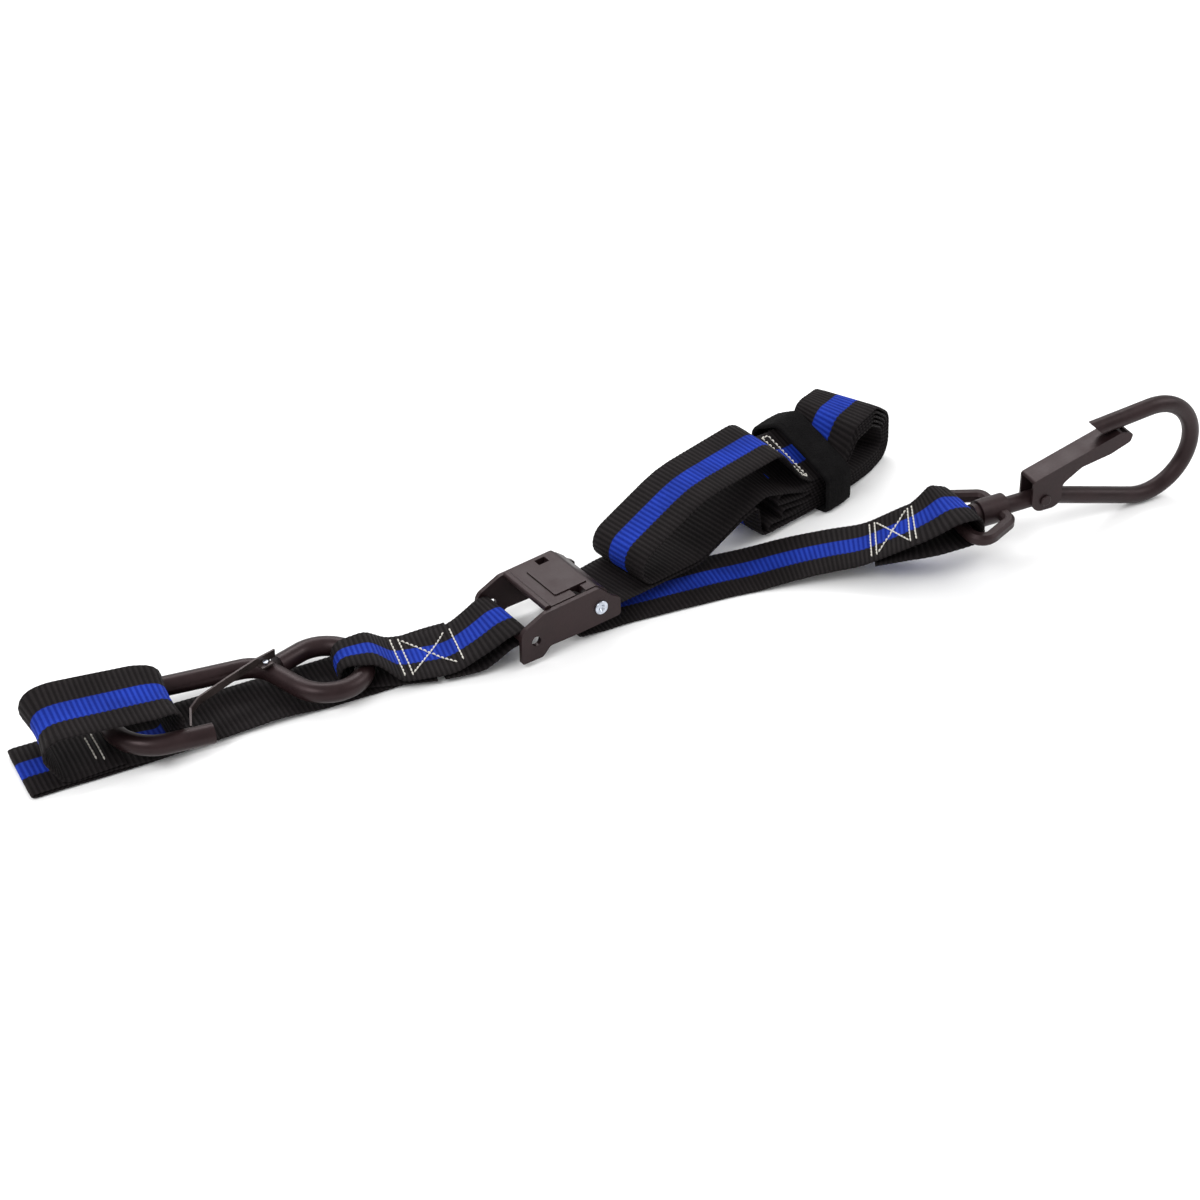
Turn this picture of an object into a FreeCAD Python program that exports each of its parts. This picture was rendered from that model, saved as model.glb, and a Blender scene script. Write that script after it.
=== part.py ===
import FreeCAD
import Part
import math
import os

Vector = FreeCAD.Vector
Rotation = FreeCAD.Rotation
Placement = FreeCAD.Placement

# All lengths are millimetres and all angles are degrees.
# Stations are measured from a datum on the floor beside the buckle; DATUM_X and DATUM_Y
# carry them to the middle of the footprint, which is the origin of the finished part.
SIZES = {
    "datum_x": 14.3,
    "datum_y": 15.0,
    "webbing_width": 38.0,
    "webbing_thickness": 1.6,
    "layer_gap": 0.4,
    "throat_width": 20.0,
    "floor_strap_length": 226.0,
    "eye_width": 38.0,
    "eye_throat_width": 32.6,
    "plate_thickness": 2.5,
    "inner_width": 39.5,
    "front_bar_radius": 3.0,
    "base_bar_length": 10.0,
    "base_bar_height": 1.9,
    "cam_pin_radius": 2.5,
    "rivet_head_radius": 3.75,
    "rivet_head_height": 1.2,
    "running_clearance": 0.05,
    "open_hole_radius": 2.7,
    "lever_width": 38.9,
    "lever_pad_height": 0.7,
    "lever_side_notch": 6.0,
    "cam_spring_wire": 0.4,
    "cam_spring_radius": 3.3,
    "cam_spring_notch_width": 7.0,
    "cam_spring_notch_radius": 4.4,
    "s_hook_radius": 5.15,
    "s_hook_core_radius": 4.2,
    "s_hook_coat_bore": 4.25,
    "s_hook_bend_radius": 22.0,
    "s_hook_eye_radius": 19.3,
    "keeper_thickness": 1.0,
    "snap_rod_radius": 4.65,
    "snap_bend_radius": 28.0,
    "swivel_height": 23.8,
    "swivel_bar": 6.4,
    "swivel_loop_width": 33.4,
    "barrel_radius": 7.5,
    "neck_radius": 4.0,
    "neck_head_radius": 6.2,
    "gate_inner_width": 9.9,
    "gate_sheet": 1.2,
    "gate_rivet_radius": 1.8,
    "gate_rivet_head_radius": 3.1,
    "band_length": 20.0,
    "band_thickness": 2.2,
    "hank_heading": 20.0,
    "stitch_width": 0.8,
    "stitch_height": 0.4,
}

doc = FreeCAD.newDocument("cam_buckle_tie_down")
sheet = doc.addObject("Spreadsheet::Sheet", "sizes")
for row, (alias, value) in enumerate(SIZES.items(), start=1):
    sheet.set("A%d" % row, alias)
    sheet.set("B%d" % row, str(value))
    sheet.setAlias("B%d" % row, alias)
doc.recompute()


def size(alias):
    return float(sheet.get(alias))


def cell(alias, factor=1):
    """Expression that reads one cell of the size sheet."""
    return "<<sizes>>.%s * %s" % (alias, factor)


sheet.Label = "sizes"
THICK = size("webbing_thickness")
WIDTH = size("webbing_width")
HALF_THICK = THICK / 2


def floor_point(x, y, z=0.0):
    """A station measured from the datum, moved to the part's own frame."""
    return Vector(x - size("datum_x"), y - size("datum_y"), z)


# ---------------------------------------------------------------- paths


def corner_path(corners):
    """Lines and tangent arcs through corners (u, v, radius); the two ends have radius 0."""
    pieces = []
    count = len(corners)
    start = Vector(corners[0][0], corners[0][1], 0)
    for index in range(1, count - 1):
        corner = Vector(corners[index][0], corners[index][1], 0)
        radius = corners[index][2]
        following = Vector(corners[index + 1][0], corners[index + 1][1], 0)
        before = Vector(corners[index - 1][0], corners[index - 1][1], 0)
        arriving = (corner - before).normalize()
        leaving = (following - corner).normalize()
        turn = math.atan2(arriving.x * leaving.y - arriving.y * leaving.x, arriving.dot(leaving))
        reach = radius * math.tan(abs(turn) / 2)
        tangent_in = corner - arriving * reach
        tangent_out = corner + leaving * reach
        if (tangent_in - start).Length > 1e-6:
            pieces.append({"kind": "line", "from": start, "to": tangent_in})
        if radius > 0 and abs(turn) > 1e-6:
            side = 1 if turn > 0 else -1
            normal = Vector(-arriving.y, arriving.x, 0) * side
            centre = tangent_in + normal * radius
            first = math.atan2(tangent_in.y - centre.y, tangent_in.x - centre.x)
            pieces.append({"kind": "arc", "centre": centre, "radius": radius, "first": first,
                           "turn": turn})
        start = tangent_out
    end = Vector(corners[-1][0], corners[-1][1], 0)
    if (end - start).Length > 1e-6:
        pieces.append({"kind": "line", "from": start, "to": end})
    return pieces


def arc_geometry(centre, radius, first, turn):
    """Arc of a circle from angle first, turning by turn, as sketch geometry."""
    circle = Part.Circle(centre, Vector(0, 0, 1), radius)
    if turn > 0:
        return Part.ArcOfCircle(circle, first, first + turn)
    return Part.ArcOfCircle(circle, first + turn, first)


def piece_ends(piece, offset):
    """Start and end of one piece moved to its left by offset."""
    if piece["kind"] == "line":
        along = (piece["to"] - piece["from"]).normalize()
        left = Vector(-along.y, along.x, 0) * offset
        return piece["from"] + left, piece["to"] + left
    side = 1 if piece["turn"] > 0 else -1
    radius = piece["radius"] - side * offset
    last = piece["first"] + piece["turn"]
    centre = piece["centre"]
    begin = centre + Vector(math.cos(piece["first"]), math.sin(piece["first"]), 0) * radius
    finish = centre + Vector(math.cos(last), math.sin(last), 0) * radius
    return begin, finish


def offset_geometry(pieces, offset):
    """The path moved to its left by offset, as a list of sketch geometry."""
    geometry = []
    for piece in pieces:
        if piece["kind"] == "line":
            begin, finish = piece_ends(piece, offset)
            geometry.append(Part.LineSegment(begin, finish))
        else:
            side = 1 if piece["turn"] > 0 else -1
            geometry.append(arc_geometry(piece["centre"], piece["radius"] - side * offset,
                                         piece["first"], piece["turn"]))
    return geometry


def strip_outline(corners, thickness):
    """Closed outline of a strip of constant thickness along a path of corners."""
    pieces = corner_path(corners)
    half = thickness / 2
    left_start = piece_ends(pieces[0], half)[0]
    right_start = piece_ends(pieces[0], -half)[0]
    left_end = piece_ends(pieces[-1], half)[1]
    right_end = piece_ends(pieces[-1], -half)[1]
    outline = offset_geometry(pieces, half)
    outline.append(Part.LineSegment(left_end, right_end))
    outline.extend(offset_geometry(pieces, -half))
    outline.append(Part.LineSegment(left_start, right_start))
    return outline


def closed_outline(corners, offset=0.0):
    """Closed outline through corners (u, v, radius), optionally moved to its left."""
    middle = ((corners[0][0] + corners[-1][0]) / 2, (corners[0][1] + corners[-1][1]) / 2, 0)
    return offset_geometry(corner_path([middle] + corners + [middle]), offset)


def path_stations(corners, arc_step):
    """Points (u, v) with heading angles along a path, arcs cut into steps of arc_step degrees."""
    stations = []
    for piece in corner_path(corners):
        if piece["kind"] == "line":
            along = piece["to"] - piece["from"]
            heading = math.atan2(along.y, along.x)
            stations.append((piece["from"].x, piece["from"].y, heading))
            stations.append((piece["to"].x, piece["to"].y, heading))
        else:
            steps = max(1, math.ceil(abs(math.degrees(piece["turn"])) / arc_step))
            quarter = math.pi / 2 if piece["turn"] > 0 else -math.pi / 2
            for step in range(1, steps):
                angle = piece["first"] + piece["turn"] * step / steps
                point = piece["centre"] + Vector(math.cos(angle), math.sin(angle), 0) * piece["radius"]
                stations.append((point.x, point.y, angle + quarter))
    kept = [stations[0]]
    for station in stations[1:]:
        if math.hypot(station[0] - kept[-1][0], station[1] - kept[-1][1]) > 0.05:
            kept.append(station)
    return kept


class Spine:
    """Plan curve of a strap on the floor: straight runs and arcs, read by length."""

    def __init__(self, x, y, heading, runs):
        self.runs = []
        heading = math.radians(heading)
        begin = 0.0
        for length, turn in runs:
            turn = math.radians(turn)
            self.runs.append((begin, length, turn, x, y, heading))
            x, y = self.advance(x, y, heading, length, turn, length)
            heading += turn
            begin += length

    @staticmethod
    def advance(x, y, heading, length, turn, travelled):
        if abs(turn) < 1e-9:
            return x + travelled * math.cos(heading), y + travelled * math.sin(heading)
        radius = length / turn
        angle = heading + turn * travelled / length
        return (x + radius * (math.sin(angle) - math.sin(heading)),
                y - radius * (math.cos(angle) - math.cos(heading)))

    def at(self, s):
        run = self.runs[0]
        for candidate in self.runs:
            if s >= candidate[0]:
                run = candidate
        begin, length, turn, x, y, heading = run
        travelled = s - begin
        px, py = self.advance(x, y, heading, length, turn, travelled)
        return px, py, heading + turn * travelled / length


def blend(value, low, high):
    """0 below low, 1 above high, straight between."""
    return min(1.0, max(0.0, (value - low) / (high - low)))


def ribbon(spine, corners, width_at, roll_at, thickness, arc_step=22.5):
    """Strap solid: a profile path (length along the spine, height) swept across its width."""
    sections = []
    for s, z, pitch in path_stations(corners, arc_step):
        x, y, heading = spine.at(s)
        roll = math.radians(roll_at(s))
        across = Vector(-math.sin(heading) * math.cos(roll), math.cos(heading) * math.cos(roll),
                        math.sin(roll))
        ahead = Vector(math.cos(heading), math.sin(heading), 0)
        normal = ahead * -math.sin(pitch) + Vector(0, 0, math.cos(pitch))
        centre = floor_point(x, y, z)
        half_width = across * (width_at(s) / 2)
        half_thick = normal * (thickness / 2)
        ring = [centre - half_width - half_thick, centre + half_width - half_thick,
                centre + half_width + half_thick, centre - half_width + half_thick]
        sections.append(Part.makePolygon(ring + [ring[0]]))
    shells = []
    for index in range(len(sections) - 1):
        shells.append(Part.makeLoft([sections[index], sections[index + 1]], False, True))
    faces = [face for shell in shells for face in shell.Faces]
    faces.append(Part.Face(sections[0]))
    faces.append(Part.Face(sections[-1]))
    skin = Part.makeShell(faces)
    skin.sewShape()
    solid = Part.makeSolid(skin)
    if solid.Volume < 0:
        solid.reverse()
    return solid


# ---------------------------------------------------------------- document objects

PIECES = []


def origin_plane(body, role):
    for feature in body.Origin.OriginFeatures:
        if feature.Role == role:
            return feature
    raise ValueError("no origin plane " + role)


def add_body(label, placement):
    body = doc.addObject("PartDesign::Body", label)
    body.Label = label
    body.Placement = placement
    PIECES.append(body)
    return body


def add_sketch(body, name, role, outline):
    sketch = body.newObject("Sketcher::SketchObject", name)
    sketch.AttachmentSupport = [(origin_plane(body, role), "")]
    sketch.MapMode = "FlatFace"
    for geometry in outline:
        sketch.addGeometry(geometry, False)
    return sketch


def add_pad(body, name, sketch, expression):
    """Pad equally to both sides of the sketch plane, its full length read from the sheet."""
    pad = body.newObject("PartDesign::Pad", name)
    pad.Profile = sketch
    pad.setExpression("Length", expression)
    pad.Midplane = True
    body.Tip = pad
    doc.recompute()
    return pad


def add_pocket(body, name, sketch, length):
    """Pocket equally to both sides of the sketch plane."""
    pocket = body.newObject("PartDesign::Pocket", name)
    pocket.Profile = sketch
    pocket.Midplane = True
    pocket.Length = length
    body.Tip = pocket
    doc.recompute()
    return pocket


def circle_outline(x, y, radius):
    return [Part.Circle(Vector(x, y, 0), Vector(0, 0, 1), radius)]


def add_feature(label, shape, placement=None):
    """A finished solid that no sketch or primitive fits."""
    feature = doc.addObject("Part::Feature", label)
    feature.Label = label
    feature.Shape = shape
    if placement is not None:
        feature.Placement = placement
    PIECES.append(feature)
    return feature


def add_rod(label, radius_alias, length_expression, placement):
    rod = doc.addObject("Part::Cylinder", label)
    rod.Label = label
    rod.setExpression("Radius", cell(radius_alias))
    rod.setExpression("Height", length_expression)
    rod.Placement = placement
    PIECES.append(rod)
    return rod


def flat_wire(geometry):
    """Wire in the XY plane from sketch geometry."""
    return Part.Wire(Part.__sortEdges__([piece.toShape() for piece in geometry]))


def side_wire(geometry):
    """Wire in the XZ plane from sketch geometry drawn as (x, z)."""
    wire = flat_wire(geometry)
    wire.rotate(Vector(0, 0, 0), Vector(1, 0, 0), 90)
    return wire


def pipe(wire, radius):
    """Round bar along a wire."""
    first = wire.OrderedEdges[0]
    begin = wire.OrderedVertexes[0].Point
    direction = first.tangentAt(first.FirstParameter)
    if (first.valueAt(first.FirstParameter) - begin).Length > 1e-6:
        direction = first.tangentAt(first.LastParameter) * -1
    ring = Part.Wire(Part.makeCircle(radius, begin, direction))
    return wire.makePipeShell([ring], True, True)


def moved(placement, x, y, z, rotation=None):
    """A placement carried along inside another placement."""
    return placement.multiply(Placement(Vector(x, y, z), rotation or Rotation()))


# ---------------------------------------------------------------- common frames

BUCKLE = Placement(floor_point(-16.4, -7.8, 17.9), Rotation(11, -4, -3))
S_HOOK = Placement(floor_point(-152.5, -12.0, 9.8), Rotation(0, 2, 0))
SNAP_HOOK = Placement(floor_point(306.3, -31.2), Rotation(3.5, 0, 0))
HANK = Placement(floor_point(141.5, 27.0), Rotation(size("hank_heading"), 0, 0))
SOFT_LOOP = Placement(floor_point(-308.0, -22.5), Rotation(4, 0, 0))
SOFT_EYE = Placement(floor_point(-308.0, -22.5), Rotation(0, 0, 0))


# ---------------------------------------------------------------- soft loop

def build_soft_loop():
    run = size("floor_strap_length")
    second_layer = THICK + HALF_THICK + size("layer_gap")
    fold = (second_layer - HALF_THICK) / 2
    strap = add_body("soft_loop_strap", SOFT_LOOP)
    outline = strip_outline([(run, HALF_THICK, 0), (-1, HALF_THICK, fold),
                             (-1, second_layer, fold), (12, second_layer, 0)], THICK)
    sketch = add_sketch(strap, "soft_loop_strap_side", "XZ_Plane", outline)
    add_pad(strap, "soft_loop_strap_pad", sketch, cell("webbing_width"))

    eye = add_body("soft_loop_eye", SOFT_EYE)
    corners = [(13.5, 2.8, 5), (72.5, 2.8, 5), (74, 31.8, 7), (6, 31.8, 9)]
    half = HALF_THICK
    outline = closed_outline(corners, half) + closed_outline(corners, -half)
    sketch = add_sketch(eye, "soft_loop_eye_side", "XZ_Plane", outline)
    add_pad(eye, "soft_loop_eye_pad", sketch, cell("eye_width"))
    # the near edge is tucked in where the strap goes down between the hook's two rods
    tuck = [(40, 4.0, 0), (80, 4.0, 0), (80, 30.9, 0), (40, 30.9, 0)]
    slot = add_sketch(eye, "soft_loop_eye_tuck", "XZ_Plane", closed_outline(tuck))
    edge = size("eye_width") / 2
    slot.AttachmentOffset = Placement(Vector(0, 0, edge), Rotation())
    pocket = add_pocket(eye, "soft_loop_eye_near_edge", slot, 2 * (size("eye_width")
                                                                   - size("eye_throat_width")))
    return pocket


# ---------------------------------------------------------------- straps that bend in plan

FIXED_SPINE = Spine(-150.0, -11.0, -5, [(68.0, 0), (22.3, 16), (10.0, 0)])
MAIN_SPINE = Spine(-18.0, -8.5, 9, [(30.0, -9), (44.0, 0), (90.0, -25.5), (21.0, 0), (22.0, 29),
                                    (30.0, 0)])
SWIVEL_RISE = ((160, 10.5), (193, 22.8))
HANK_SPINE = Spine(141.5 - 150 * math.cos(math.radians(20)) - 19 * math.sin(math.radians(20)),
                   27.0 - 150 * math.sin(math.radians(20)) + 19 * math.cos(math.radians(20)),
                   20, [(150.0, 0), (65.0, 22), (10.0, 0)])
HANK_START = 150.0


def build_fixed_webbing():
    width_gain = WIDTH - size("throat_width")
    corners = [(50, 2.8, 0), (3.2, 2.8, 4.5), (3.2, 16.2, 5.5), (24, 16.2, 8), (38, 4.9, 8),
               (70, 4.9, 12), (83, 19.75, 6), (94.45, 19.75, 4.149), (94.45, 11.45, 4.149),
               (86, 11.45, 6), (73, 2.8, 6), (54, 2.8, 0)]

    def width_at(s):
        return size("throat_width") + width_gain * blend(s, 24, 38)

    def roll_at(s):
        return -3 * blend(s, 60, 86)

    add_feature("fixed_webbing", ribbon(FIXED_SPINE, corners, width_at, roll_at, THICK))


def build_main_webbing():
    # floor run, rise to the swivel, sewn loop round the swivel eye's left bar
    foot, top = SWIVEL_RISE
    corners = [(2, HALF_THICK, 0), (100, HALF_THICK, 90), (foot[0], foot[1], 30), (top[0], top[1], 9),
               (201, 36.5, 6), (215.2, 33.5, 5), (217.4, 18.9, 4.5), (202, 18.9, 5), (188, 16.9, 20),
               (166, 10.6, 0)]
    narrowing = WIDTH - size("swivel_loop_width")

    def width_at(s):
        return WIDTH - narrowing * blend(s, 186, 198)

    add_feature("main_webbing", ribbon(MAIN_SPINE, corners, width_at, lambda s: 0, THICK))


def build_buckle_turn():
    """The strap's turn round the base bar, in the buckle's own frame."""
    body = add_body("buckle_turn_webbing", BUCKLE)
    outline = strip_outline([(-3.5, -15.3, 0), (-11.4, -15.3, 4.19), (-11.4, -6.9, 4.19),
                             (12.0, -6.9, 0)], THICK)
    sketch = add_sketch(body, "buckle_turn_side", "XZ_Plane", outline)
    add_pad(body, "buckle_turn_pad", sketch, cell("webbing_width"))


def build_hank():
    lead = [(9.5, 12.4, 0), (16, 12.4, 20), (42, 9.9, 20), (58, 8.9, 12), (72, 14.0, 0),
            (100, 26.2, 0)]
    spine = Spine(HANK_SPINE.at(0)[0], HANK_SPINE.at(0)[1], 20, [(150.0, 0)])
    add_feature("tail_lead_webbing", ribbon(spine, lead, lambda s: WIDTH, lambda s: 0, THICK))

    loop = add_body("tail_loop_webbing", moved(HANK, 0, WIDTH / 2, 0))
    corners = [(-1.5, 31.5, 0), (-12, 32, 10), (-30, 50.5, 12), (-97, 47, 28), (-139, 27, 8),
               (-126, 14.0, 6), (-90, 12.2, 22), (-49, 30.0, 0)]
    sketch = add_sketch(loop, "tail_loop_side", "XZ_Plane", strip_outline(corners, THICK))
    add_pad(loop, "tail_loop_pad", sketch, cell("webbing_width"))

    bundle = add_body("tail_bundle_webbing", moved(HANK, 0, WIDTH / 2, 0))
    corners = [(-45, 1.2, 3), (-2, 3.0, 2), (-2, 29.0, 2), (-14, 29.0, 6), (-28, 33.0, 6),
               (-46.5, 27.0, 4)]
    sketch = add_sketch(bundle, "tail_bundle_side", "XZ_Plane", closed_outline(corners))
    add_pad(bundle, "tail_bundle_pad", sketch, cell("webbing_width"))

    outer = [(1, 33.5, 0), (21, 34.5, 16), (30, 40.4, 10), (42, 40.4, 14), (60, 29, 12),
             (65.5, 0.9, 9), (38, 0.9, 30), (20, 5.0, 20), (1, 5.0, 0)]
    inner = [(1, 29.5, 0), (22.5, 30.4, 16), (31, 36.2, 8), (41, 36.2, 11), (56.5, 26, 9),
             (60.8, 5.0, 6), (38.5, 5.0, 24), (21, 9.1, 16), (1, 9.1, 0)]
    inner_stack = 5.2
    add_feature("tail_roll_outer",
                ribbon(HANK_SPINE, [(s + HANK_START, z, r) for s, z, r in outer],
                       lambda s: WIDTH, lambda s: 0, THICK))
    add_feature("tail_roll_inner",
                ribbon(HANK_SPINE, [(s + HANK_START, z, r) for s, z, r in inner],
                       lambda s: WIDTH, lambda s: 0, inner_stack))

    band = add_body("closure_band", moved(HANK, size("band_length") / 2, 0, 0, Rotation(4, 0, 0)))
    thick = size("band_thickness")
    # drawn looking along the hank: across, height
    corners = [(-6.0, thick / 2, 2), (47.0, thick / 2, 3), (48.0, 36.0, 8), (28, 40.0, 20),
               (-6.0, 37.0, 6)]
    outline = closed_outline(corners, thick / 2) + closed_outline(corners, -thick / 2)
    sketch = add_sketch(band, "closure_band_ring", "YZ_Plane", outline)
    add_pad(band, "closure_band_pad", sketch, cell("band_length"))


# ---------------------------------------------------------------- cam buckle

PLATE_OUTLINE = [(-48.7, -12.8, 1.5), (-47.0, 5.66, 6), (-32.3, 11.45, 4), (0.34, 11.45, 3),
                 (7.2, 3.7, 10), (12.1, 0.25, 1.5), (11.4, -9.8, 2), (-17.3, -9.6, 20),
                 (-31.2, -8.9, 3), (-36.3, -13.4, 2)]
FRONT_BAR_X = -44.2
FRONT_BAR_Z = 0.8
OPEN_HOLE = (-39.0, -2.4)


def build_plates():
    middle = (size("inner_width") + size("plate_thickness")) / 2
    for label, side in (("buckle_near_plate", -1), ("buckle_far_plate", 1)):
        plate = add_body(label, moved(BUCKLE, 0, side * middle, 0))
        sketch = add_sketch(plate, label + "_outline", "XZ_Plane", closed_outline(PLATE_OUTLINE))
        add_pad(plate, label + "_pad", sketch, cell("plate_thickness"))
        holes = circle_outline(0, 0, size("cam_pin_radius"))
        sketch = add_sketch(plate, label + "_pin_hole", "XZ_Plane", holes)
        add_pocket(plate, label + "_pin_pocket", sketch, 2 * size("plate_thickness"))
        spare = circle_outline(OPEN_HOLE[0], OPEN_HOLE[1], size("open_hole_radius"))
        sketch = add_sketch(plate, label + "_open_hole", "XZ_Plane", spare)
        add_pocket(plate, label + "_open_pocket", sketch, 2 * size("plate_thickness"))


def build_bars():
    """Front bar, base bar and cam pin, all across the buckle."""
    inner = size("inner_width")
    outer = inner + 2 * size("plate_thickness")
    across = Rotation(Vector(1, 0, 0), -90)
    add_rod("front_bar", "front_bar_radius", cell("inner_width"),
            moved(BUCKLE, FRONT_BAR_X, -inner / 2, FRONT_BAR_Z, across))

    base = doc.addObject("Part::Box", "base_bar")
    base.Label = "base_bar"
    base.setExpression("Length", cell("base_bar_length"))
    base.setExpression("Height", cell("base_bar_height"))
    base.setExpression("Width", cell("inner_width"))
    base.Placement = moved(BUCKLE, -6.0, -inner / 2, -9.7)
    PIECES.append(base)

    pin = Part.makeCylinder(size("cam_pin_radius"), outer, Vector(0, -outer / 2, 0), Vector(0, 1, 0))
    dimple = 1.9
    for side in (-1, 1):
        head = Part.makeCylinder(size("rivet_head_radius"), size("rivet_head_height"),
                                 Vector(0, side * outer / 2, 0), Vector(0, side, 0))
        rim = side * (outer / 2 + size("rivet_head_height"))
        head = head.makeFillet(0.5, [edge for edge in head.Edges
                                     if edge.Closed and abs(edge.CenterOfMass.y - rim) < 0.01])
        bowl = Part.makeCone(dimple, 0.9, 1.0, Vector(0, rim, 0), Vector(0, -side, 0))
        pin = pin.fuse(head).cut(bowl)
    add_feature("cam_pin", pin.removeSplitter(), BUCKLE)


LEVER_OUTLINE = [(-30.5, 9.9, 0.6), (-30.5, 12.9, 1.0), (-27.6, 12.9, 0.6), (-26.8, 11.9, 0.4),
                 (0.5, 11.9, 4), (6.4, 6.5, 3), (6.2, -2.5, 3), (2.0, -5.4, 1.5), (-3.4, -5.2, 1.8),
                 (-5.6, -1.0, 2.5), (-5.2, 6.0, 3), (-9.5, 9.9, 3)]


def build_lever():
    lever = add_body("cam_lever", BUCKLE)
    sketch = add_sketch(lever, "lever_side", "XZ_Plane", closed_outline(LEVER_OUTLINE))
    add_pad(lever, "lever_pad", sketch, cell("lever_width"))
    inset = size("lever_side_notch")
    half = size("lever_width") / 2
    # raised thumb pad on the top, inset from both side plates
    thumb = [(-20.5, -half + inset, 1), (-1.2, -half + inset, 1), (-1.2, half - inset, 1),
             (-20.5, half - inset, 1)]
    sketch = add_sketch(lever, "lever_thumb_pad", "XY_Plane", closed_outline(thumb))
    sketch.AttachmentOffset = Placement(Vector(0, 0, 11.9), Rotation())
    add_pad(lever, "lever_thumb_pad_solid", sketch, cell("lever_pad_height", 2))
    notches = []
    for side in (-1, 1):
        near = side * (half - inset)
        far = side * (half + 1)
        notches.append([(-12.0, near, 0.5), (-5.9, near, 0.5), (-5.9, far, 0.0), (-12.0, far, 0.0)])
    outline = closed_outline(notches[0]) + closed_outline(notches[1])
    sketch = add_sketch(lever, "lever_notches", "XY_Plane", outline)
    add_pocket(lever, "lever_notch_pocket", sketch, 60)
    bore = circle_outline(0, 0, size("cam_pin_radius") + size("running_clearance"))
    sketch = add_sketch(lever, "lever_bore", "XZ_Plane", bore)
    add_pocket(lever, "lever_bore_pocket", sketch, 60)
    room = circle_outline(0, 0, size("cam_spring_notch_radius"))
    sketch = add_sketch(lever, "lever_spring_room", "XZ_Plane", room)
    pocket = add_pocket(lever, "lever_spring_pocket", sketch, size("cam_spring_notch_width"))
    # grip teeth along the cam, cut as shallow grooves
    return pocket


def coil_spring(turns, pitch, radius, wire_radius):
    """Round wire wound about +Z from the origin up."""
    helix = Part.Wire(Part.makeHelix(pitch, pitch * turns, radius))
    climb = math.atan2(pitch, 2 * math.pi * radius)
    along = Vector(0, math.cos(climb), math.sin(climb))
    ring = Part.Wire(Part.makeCircle(wire_radius, Vector(radius, 0, 0), along))
    return helix.makePipeShell([ring], True, True)


def build_cam_spring():
    """The torsion spring's close-wound turns, as rings that touch."""
    turns = 6
    wire = size("cam_spring_wire")
    spacing = 1.6 * wire
    first = -spacing * (turns - 1) / 2
    outline = [(size("cam_spring_radius") - wire, first - wire, 0.1)]
    outline.append((size("cam_spring_radius") + wire, first - wire, 0.3))
    outline.append((size("cam_spring_radius") + wire, -first + wire, 0.3))
    outline.append((size("cam_spring_radius") - wire, -first + wire, 0.1))
    body = Part.Face(flat_wire(closed_outline(outline))).revolve(Vector(0, 0, 0), Vector(0, 1, 0), 360)
    for turn in range(turns - 1):
        groove = Part.makeTorus(size("cam_spring_radius") + 1.25 * wire, 0.5 * wire,
                                Vector(0, first + (turn + 0.5) * spacing, 0), Vector(0, 1, 0))
        body = body.cut(groove)
    add_feature("cam_spring", body, BUCKLE)


# ---------------------------------------------------------------- S-hook

def s_hook_wire(shortened):
    """Centre line of the S-hook in its own plane; shortened trims both ends."""
    bend = size("s_hook_bend_radius")
    eye = size("s_hook_eye_radius")
    tip = Vector(-65.9 - shortened, -29.4, 0)
    bend_centre = Vector(-88.5, -29.4 + bend, 0)
    top = bend_centre.y + bend
    crossing_turn = math.radians(62)
    swing = 16.0
    # point of the eye circle where the shank runs into it
    angle = math.radians(208)
    joint = Vector(eye * math.cos(angle), eye * math.sin(angle), 0)
    shank = Vector(math.cos(-crossing_turn), math.sin(-crossing_turn), 0)
    drop = swing * (1 - math.cos(crossing_turn))
    travel = (top - drop - joint.y) / -shank.y
    swing_end = joint - shank * travel
    swing_centre = Vector(swing_end.x - swing * math.sin(crossing_turn), top - swing, 0)
    last = math.radians(115 + 360)
    finish_angle = math.radians(115)
    tail_start = Vector(eye * math.cos(finish_angle), eye * math.sin(finish_angle), 0)
    tail_along = Vector(-math.sin(finish_angle), math.cos(finish_angle), 0)
    tail_end = tail_start + tail_along * (14.2 - shortened)
    up = Vector(0, 0, 1)
    quarter = math.pi / 2
    half_turn = Part.Arc(bend_centre - Vector(0, bend, 0), bend_centre - Vector(bend, 0, 0),
                         bend_centre + Vector(0, bend, 0))
    swing_arc = Part.ArcOfCircle(Part.Circle(swing_centre, up, swing), quarter - crossing_turn, quarter)
    eye_arc = Part.ArcOfCircle(Part.Circle(Vector(0, 0, 0), up, eye), angle, last)
    pieces = [Part.LineSegment(tip, bend_centre - Vector(0, bend, 0)), half_turn,
              Part.LineSegment(bend_centre + Vector(0, bend, 0), Vector(swing_centre.x, top, 0)),
              swing_arc, Part.LineSegment(swing_end, joint), eye_arc,
              Part.LineSegment(tail_start, tail_end)]
    return flat_wire(pieces)


def build_s_hook():
    coat_cap = 0.9
    core = pipe(s_hook_wire(coat_cap), size("s_hook_core_radius"))
    add_feature("s_hook_core", core, S_HOOK)
    outer = pipe(s_hook_wire(0.0), size("s_hook_radius"))
    bore = pipe(s_hook_wire(coat_cap - size("running_clearance")), size("s_hook_coat_bore"))
    rivet_hole = Part.makeCylinder(1.3, 20, Vector(-32.3, 8.1, 0))
    coating = outer.cut(bore)
    add_feature("s_hook_coating", coating, S_HOOK)
    return rivet_hole


KEEPER_RIVET = Vector(-31.0, 6.0, 0)


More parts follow.
